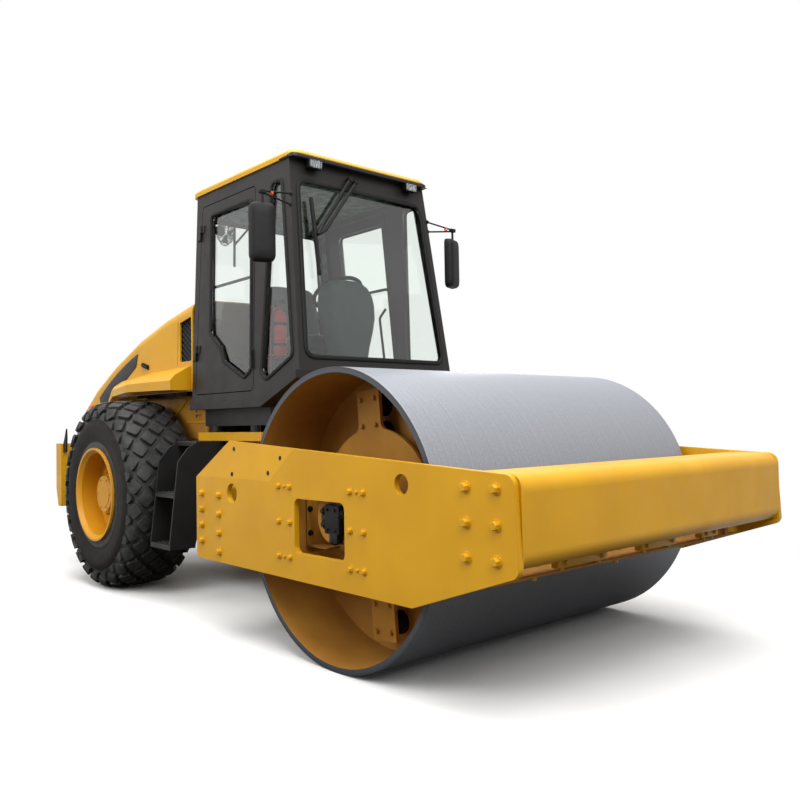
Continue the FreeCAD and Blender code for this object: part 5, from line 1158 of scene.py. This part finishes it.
# %% Lining, fan, extinguisher
FAN_RINGS = ((0.105, 0.0), (0.080, 0.030), (0.050, 0.042), (0.080, -0.030))
FAN_WIRE = ((0.020, 0.044), (0.080, 0.030), (0.105, 0.0), (0.080, -0.030), (0.030, -0.036))
FAN_BLADE = ((0.018, 0.0, 0.0), (0.088, -0.30, -0.012), (0.092, 0.42, 0.014), (0.020, 0.5, 0.006))


def draw_lining(bm):
    add_box(bm, (-0.555, -0.535, 2.896), (0.520, 0.535, 2.912), ease=0.004)
    add_box(bm, (-0.583, -0.545, 2.795), (-0.570, 0.545, 2.895), ease=0.003)
    for _, side in SIDES:
        # Rear pillar boards, leaning with the wall
        board = [Vector((x, side * y, z)) for x, y, z in
                 ((-0.560, 0.612, 1.47), (-0.560, 0.560, 1.47), (-0.574, 0.512, 2.80), (-0.574, 0.545, 2.80))]
        skin(bm, [verts_at(bm, [p + ALONG * thick for p in board]) for thick in (0, 0.010)], caps=True)


def draw_fan(bm):
    centre, facing = Vector((-0.480, -0.435, 2.690)), Vector((0.75, 0.45, -0.2)).normalized()
    turn = Matrix.Translation(centre) @ frame_along(facing)

    def spot(radius, way, lift):
        return turn @ Vector((radius * math.cos(way), radius * math.sin(way), lift))

    for radius, lift in FAN_RINGS:
        add_tube(bm, [spot(radius, math.tau * k / 28, lift) for k in range(28)], 0.0030, 6, closed=True)
    for k in range(20):
        add_tube(bm, [spot(radius, math.tau * k / 20, lift) for radius, lift in FAN_WIRE], 0.0019, 5)
    add_turned(bm, spot(0, 0, -0.085), facing,
               ((0, 0), (0.030, 0.004), (0.038, 0.02), (0.038, 0.05), (0.02, 0.058), (0, 0.058)), 20)
    for k in range(4):
        bm.faces.new(verts_at(bm, [spot(radius, math.tau * k / 4 + swing, lift)
                                   for radius, swing, lift in FAN_BLADE]))
    add_tube(bm, (spot(0, 0, -0.05), *moved(centre, ((-0.06, -0.02, 0.10), (-0.06, -0.02, 0.205)))), 0.012, 8)


def draw_extinguisher(bm):
    base = Vector((0.290, -0.495, 1.700))
    add_turned(bm, base, UP, ((0, 0), (0.052, 0.002), (0.057, 0.012), (0.057, 0.245), (0.050, 0.280),
                              (0.030, 0.307), (0.018, 0.315), (0.018, 0.330), (0, 0.330)), 32)
    add_turned(bm, base + UP * 0.330, UP, knob(0.022, 0.030, 0.012, 0.040), 16, 1)
    for reach, rise in ((0.085, 0.380), (0.075, 0.345)):
        add_tube(bm, moved(base, ((0.0, 0.01, 0.360), (reach, 0.01, rise))), 0.007, 8, slot=1)
    for rise in (0.06, 0.20):
        add_turned(bm, base + UP * rise, UP,
                   ((0.0572, 0), (0.0600, 0.001), (0.0600, 0.020), (0.0572, 0.021)), 32, 1)
    # Bracket: back plate, shelf and post
    for low, high in (((0.252, -0.580, 1.700), (0.328, -0.553, 2.020)),
                      ((0.242, -0.570, 1.686), (0.338, -0.440, 1.701)),
                      ((0.275, -0.565, 1.447), (0.305, -0.540, 1.700))):
        add_box(bm, low, high, ease=0.003, slot=1)


drawn("cab_lining", draw_lining, "body", lining)
drawn("cabin_fan", draw_fan, "body", black_plastic)
drawn("extinguisher", draw_extinguisher, "body", (red_enamel, black_plastic), 40)
print("cabin fitted")

# %% [markdown]
# ## Hood trim
# Two dark moulded panels sweep down the hood's sides, each hood side has a paddle latch, and a shallow seam
# shows where the cover over the cooler meets the main cover. Under the fender a small yellow louvre lets warm
# air out. All of it rides on the hood or the frame and stands only a few millimetres proud.

# %% Hood panels, latches and seams
HOOD_SIDE = 0.620
SWEEP_TOP = ((-1.633, 1.852), (-1.813, 1.797), (-2.006, 1.728), (-2.200, 1.645), (-2.330, 1.580),
             (-2.455, 1.512))
SWEEP_LOW = ((-1.668, 1.745), (-1.800, 1.678), (-1.990, 1.590), (-2.140, 1.520), (-2.280, 1.455),
             (-2.410, 1.415))
SWEEP_SECTION = (
    # share of the way down, height over the hood's side
    (0.0, -0.001), (0.0, 0.0035), (0.05, 0.0050), (0.5, 0.0056), (0.95, 0.0050), (1.0, 0.0035), (1.0, -0.001),
)
HOOD_SEAMS = (((-0.925, 1.705), (-0.921, 1.705), (-0.907, 2.040), (-0.911, 2.040)),
              ((-0.680, 1.512), (-0.680, 1.508), (-2.080, 1.508), (-2.080, 1.512)))
LATCH_FRAME = ((-1.560, 1.775, 0), (-1.560, 1.735, 0), (-1.425, 1.700, 0), (-1.425, 1.742, 0))
LATCH_PADDLE = ((-1.545, 0.012, 1.752), (-1.470, 0.020, 1.732), (-1.440, 0.012, 1.724))


def add_side_plate(bm, side, outline, y, thick, ease=0.003):
    """A flat panel with an eased rim, standing on a face that looks sideways."""
    centre = sum((Vector((x, 0, z)) for x, z in outline), Vector()) / len(outline)
    loops = []
    for lift, shrink in ((-0.001, 0.0), (thick - ease, 0.0), (thick, ease)):
        corners = [Vector((x, 0, z)) for x, z in outline]
        drawn_in = [corner + (centre - corner).normalized() * shrink for corner in corners]
        loops.append(verts_at(bm, [corner + ACROSS * side * (y + lift) for corner in drawn_in]))
    skin(bm, loops)
    bm.faces.new(loops[-1])


def draw_sweep(bm, side):
    top, low = smooth_line(SWEEP_TOP, 4), smooth_line(SWEEP_LOW, 4)
    columns = []
    for a, b in zip(top, low):
        spots = [(a * (1 - share) + b * share, lift) for share, lift in SWEEP_SECTION]
        columns.append(verts_at(bm, [(p.x, side * (HOOD_SIDE + lift), p.y) for p, lift in spots]))
    skin(bm, columns, closed=False, caps=True)


def draw_latch(bm, side):
    add_side_plate(bm, side, [(p.x, p.y) for p in rounded(LATCH_FRAME, 0.012, 4)], HOOD_SIDE, 0.006)
    add_tube(bm, [(x, side * (HOOD_SIDE + lift), z) for x, lift, z in LATCH_PADDLE], 0.010, 8, flat=0.7)


def draw_hood_seams(bm, side):
    # Dark lines in the skin: the joint of the cooler cover, and the joint above the skirt
    for outline in HOOD_SEAMS:
        add_side_plate(bm, side, outline, HOOD_SIDE - 0.0005, 0.0012, 0.0003)


drawn("hood_sweep_panels", both_sides(draw_sweep), "hood", cab_enamel)
drawn("hood_latches", both_sides(draw_latch), "hood", black_plastic)
drawn("hood_seams", both_sides(draw_hood_seams), "hood", seal_rubber)

# %% Louvre and tank fittings under the fender
TANK_WALL = 0.502


def draw_tank_fittings(bm, side):
    wall = side * 0.505
    for x in (-2.045, -1.933, -1.821):
        for z in (1.425, 1.449, 1.473):
            add_box(bm, (x, wall - 0.010, z), (x + 0.098, wall + 0.010, z + 0.013), ease=0.003)
    # Pressed rib along the tank's wall and the rail that holds its cover
    wall = side * TANK_WALL
    add_pipe(bm, ((-1.00, wall, 1.445), (-1.24, wall, 1.300), (-1.30, wall, 1.140)), 0.08, 0.010, 8)
    add_box(bm, (-1.02, side * 0.501 - 0.004, 1.262), (-0.705, side * 0.501 + 0.004, 1.274), ease=0.002)


drawn("tank_fittings", both_sides(draw_tank_fittings), "body", yellow_enamel)
print("hood trimmed")

# %% [markdown]
# ## Steps and bumper
# The treads are folded plate with punched, raised teeth, so that a muddy boot holds. The rear bumper carries
# a towing eye and a rubber flap at each end, with red reflectors beside them.

# %% Tread teeth
STEP_REAR, STEP_FRONT = -0.585, -0.285
STEP_TREADS = (
    # height, inner and outer edge
    (0.425, 0.823, 1.003), (0.775, 0.742, 0.968), (1.128, 0.640, 0.796),
)
TOOTH_ROW, TOOTH_PITCH = 0.040, 0.0465
TOOTH_OUTLINE = ((0.0105, 0), (0.0085, 0.004), (0.0070, 0.0045), (0.0060, 0.001), (0, 0.001))


def draw_teeth(bm, side):
    for z, inner, outer in STEP_TREADS:
        for row in range(int((outer - inner) / TOOTH_ROW)):
            start = STEP_REAR + 0.034 + (0.010 if row % 2 else -0.004)
            y = side * (inner + 0.020 + row * TOOTH_ROW)
            for k in range(6):
                add_turned(bm, (start + k * TOOTH_PITCH, y, z - 0.0005), UP, TOOTH_OUTLINE, 10)
        add_box(bm, (STEP_REAR + 0.013, side * outer - 0.004, z - 0.006),
                (STEP_FRONT - 0.013, side * outer + 0.0045, z + 0.0035), ease=0.002, slot=1)


drawn("tread_teeth", both_sides(draw_teeth), "body", (step_enamel, worn_steel))

# %% Bumper
REFLECTOR_Y, REFLECTOR_BOLT = 0.62, 0.16
FLAP_Y, FLAP_HALF = 0.845, 0.006
FLAP_OUTLINE = ((-2.735, 1.02), (-2.665, 1.02), (-2.655, 1.14), (-2.663, 1.235), (-2.700, 1.16),
                (-2.735, 1.10))


def draw_bumper_fittings(bm):
    for _, side in SIDES:
        y = side * REFLECTOR_Y
        add_box(bm, (-2.8895, y - 0.075, 0.925), (-2.884, y + 0.075, 0.965), ease=0.0015, slot=1)
        for step in (REFLECTOR_BOLT, -REFLECTOR_BOLT):
            add_bolt(bm, (-2.885, y + side * step, 0.945), -ALONG, 0.030)
    add_box(bm, (-2.893, -0.085, 0.790), (-2.880, 0.085, 0.950), ease=0.004)
    add_tube(bm, circle(24, 0.045, (-2.893, 0, 0.868), UP, ACROSS), 0.013, 8, closed=True)


def draw_flap(bm, side):
    y = side * FLAP_Y
    faces = [verts_at(bm, [(x, y + lift, z) for x, z in FLAP_OUTLINE]) for lift in (-FLAP_HALF, FLAP_HALF)]
    skin(bm, faces, caps=True)


drawn("bumper_fittings", draw_bumper_fittings, "body", (black_plastic, red_reflector))
drawn("bumper_flaps", both_sides(draw_flap), "body", seal_rubber)
print("steps and bumper fitted")

# %% [markdown]
# ## Scraper clamps and welds
# Clamp plates hold the front scraper bar under the beam, and a weld bead runs round each end of that beam.

# %% Scraper clamps and welds
CLAMPS = ((-1.030, -0.900), (-0.640, -0.270), (0.025, 0.355), (0.620, 0.800))
LUGS = (-0.760, -0.140, 0.480)


def draw_scraper_clamps(bm):
    # Clamp plates bolted through the bar, between its lugs
    for low, high in CLAMPS:
        add_box(bm, (2.640, low, 0.584), (2.682, high, 0.632), ease=0.004)
        for y in (low + 0.045, high - 0.045):
            add_bolt(bm, (2.682, y, 0.608), ALONG, 0.020)
            add_bolt(bm, (2.661, y, 0.584), -UP, 0.020)
    for y in LUGS:
        add_bolt(bm, (2.660, y, 0.622), ALONG, 0.020)
        add_bolt(bm, (2.640, y, 0.560), -UP, 0.020)


def draw_beam_weld(bm, side):
    y = side * 1.118
    line = rounded([(2.602, y, 0.657), (2.882, y, 0.657), (2.882, y, 1.028), (2.602, y, 1.028)], 0.06, 6)
    add_tube(bm, line, 0.0055, 8, closed=True)


drawn("scraper_clamps", draw_scraper_clamps, "front_frame", yellow_enamel)
drawn("beam_welds", both_sides(draw_beam_weld), "front_frame", yellow_enamel, 60)
print("small fixings done")

# %% [markdown]
# ## Floor and finish
# The floor and the backdrop stay out of the object. The camera sees them white, straight, through glass or in
# a gloss. Only the ground close to the machine answers other rays as trodden soil does, since a white floor
# under it would wash out the undersides. The floor keeps the shadow and fades into the backdrop.

# %% Floor
FOOTPRINT = Vector((3.3, 1.7, 1.0))
FLOOR_HALF = 60


def seen_rays(tree, gloss=True):
    """One for rays that look at the scene, in a gloss too if asked, and nothing for rays that light it."""
    rays = add(tree, "LightPath").outputs
    seen = calc(tree, "MAXIMUM", rays["Is Camera Ray"], rays["Is Transmission Ray"])
    return calc(tree, "MAXIMUM", seen, rays["Is Glossy Ray"]) if gloss else seen


def floor_finish():
    finish, tree, shader = new_finish("pale_studio_floor", "#F4F4F3", 0.95)
    pale = mottle(tree, shader, "#FAFAF9", "#F6F6F5", 400)
    ground = mix(tree, seen_rays(tree, gloss=False), linear("#54524F"), pale)
    tree.links.new(ground, shader.inputs["Base Color"])
    reach = calc(tree, "DIVIDE", place_of(tree), FOOTPRINT, kind="VectorMath")
    fade = add(tree, "MapRange", {"interpolation_type": "SMOOTHSTEP"},
               Value=calc(tree, "LENGTH", reach, kind="VectorMath"), From_Min=0.85, From_Max=1.75)
    white = add(tree, "Emission", Color=(1, 1, 1, 1), Strength=1.0)
    mixed = add(tree, "MixShader", _0=calc(tree, "MULTIPLY", fade.outputs["Result"], seen_rays(tree)),
                _1=shader.outputs["BSDF"], _2=white.outputs["Emission"])
    tree.links.new(mixed.outputs["Shader"], tree.nodes["Material Output"].inputs["Surface"])
    return finish


floor_mesh = bpy.data.meshes.new("floor")
floor_draft = bmesh.new()
bmesh.ops.create_grid(floor_draft, x_segments=1, y_segments=1, size=FLOOR_HALF)
floor_draft.to_mesh(floor_mesh)
floor_draft.free()
floor_mesh.materials.append(floor_finish())
floor = bpy.data.objects.new("floor", floor_mesh)
bpy.context.scene.collection.objects.link(floor)

# %% World
world = bpy.data.worlds.new("studio")
bpy.context.scene.world = world
world.use_nodes = True
background = world.node_tree.nodes["Background"]
background.inputs["Color"].default_value = (1, 1, 1, 1)
strength = add(world.node_tree, "MapRange", Value=seen_rays(world.node_tree), To_Min=SKY_LIGHT, To_Max=1.0)
world.node_tree.links.new(strength.outputs["Result"], background.inputs["Strength"])
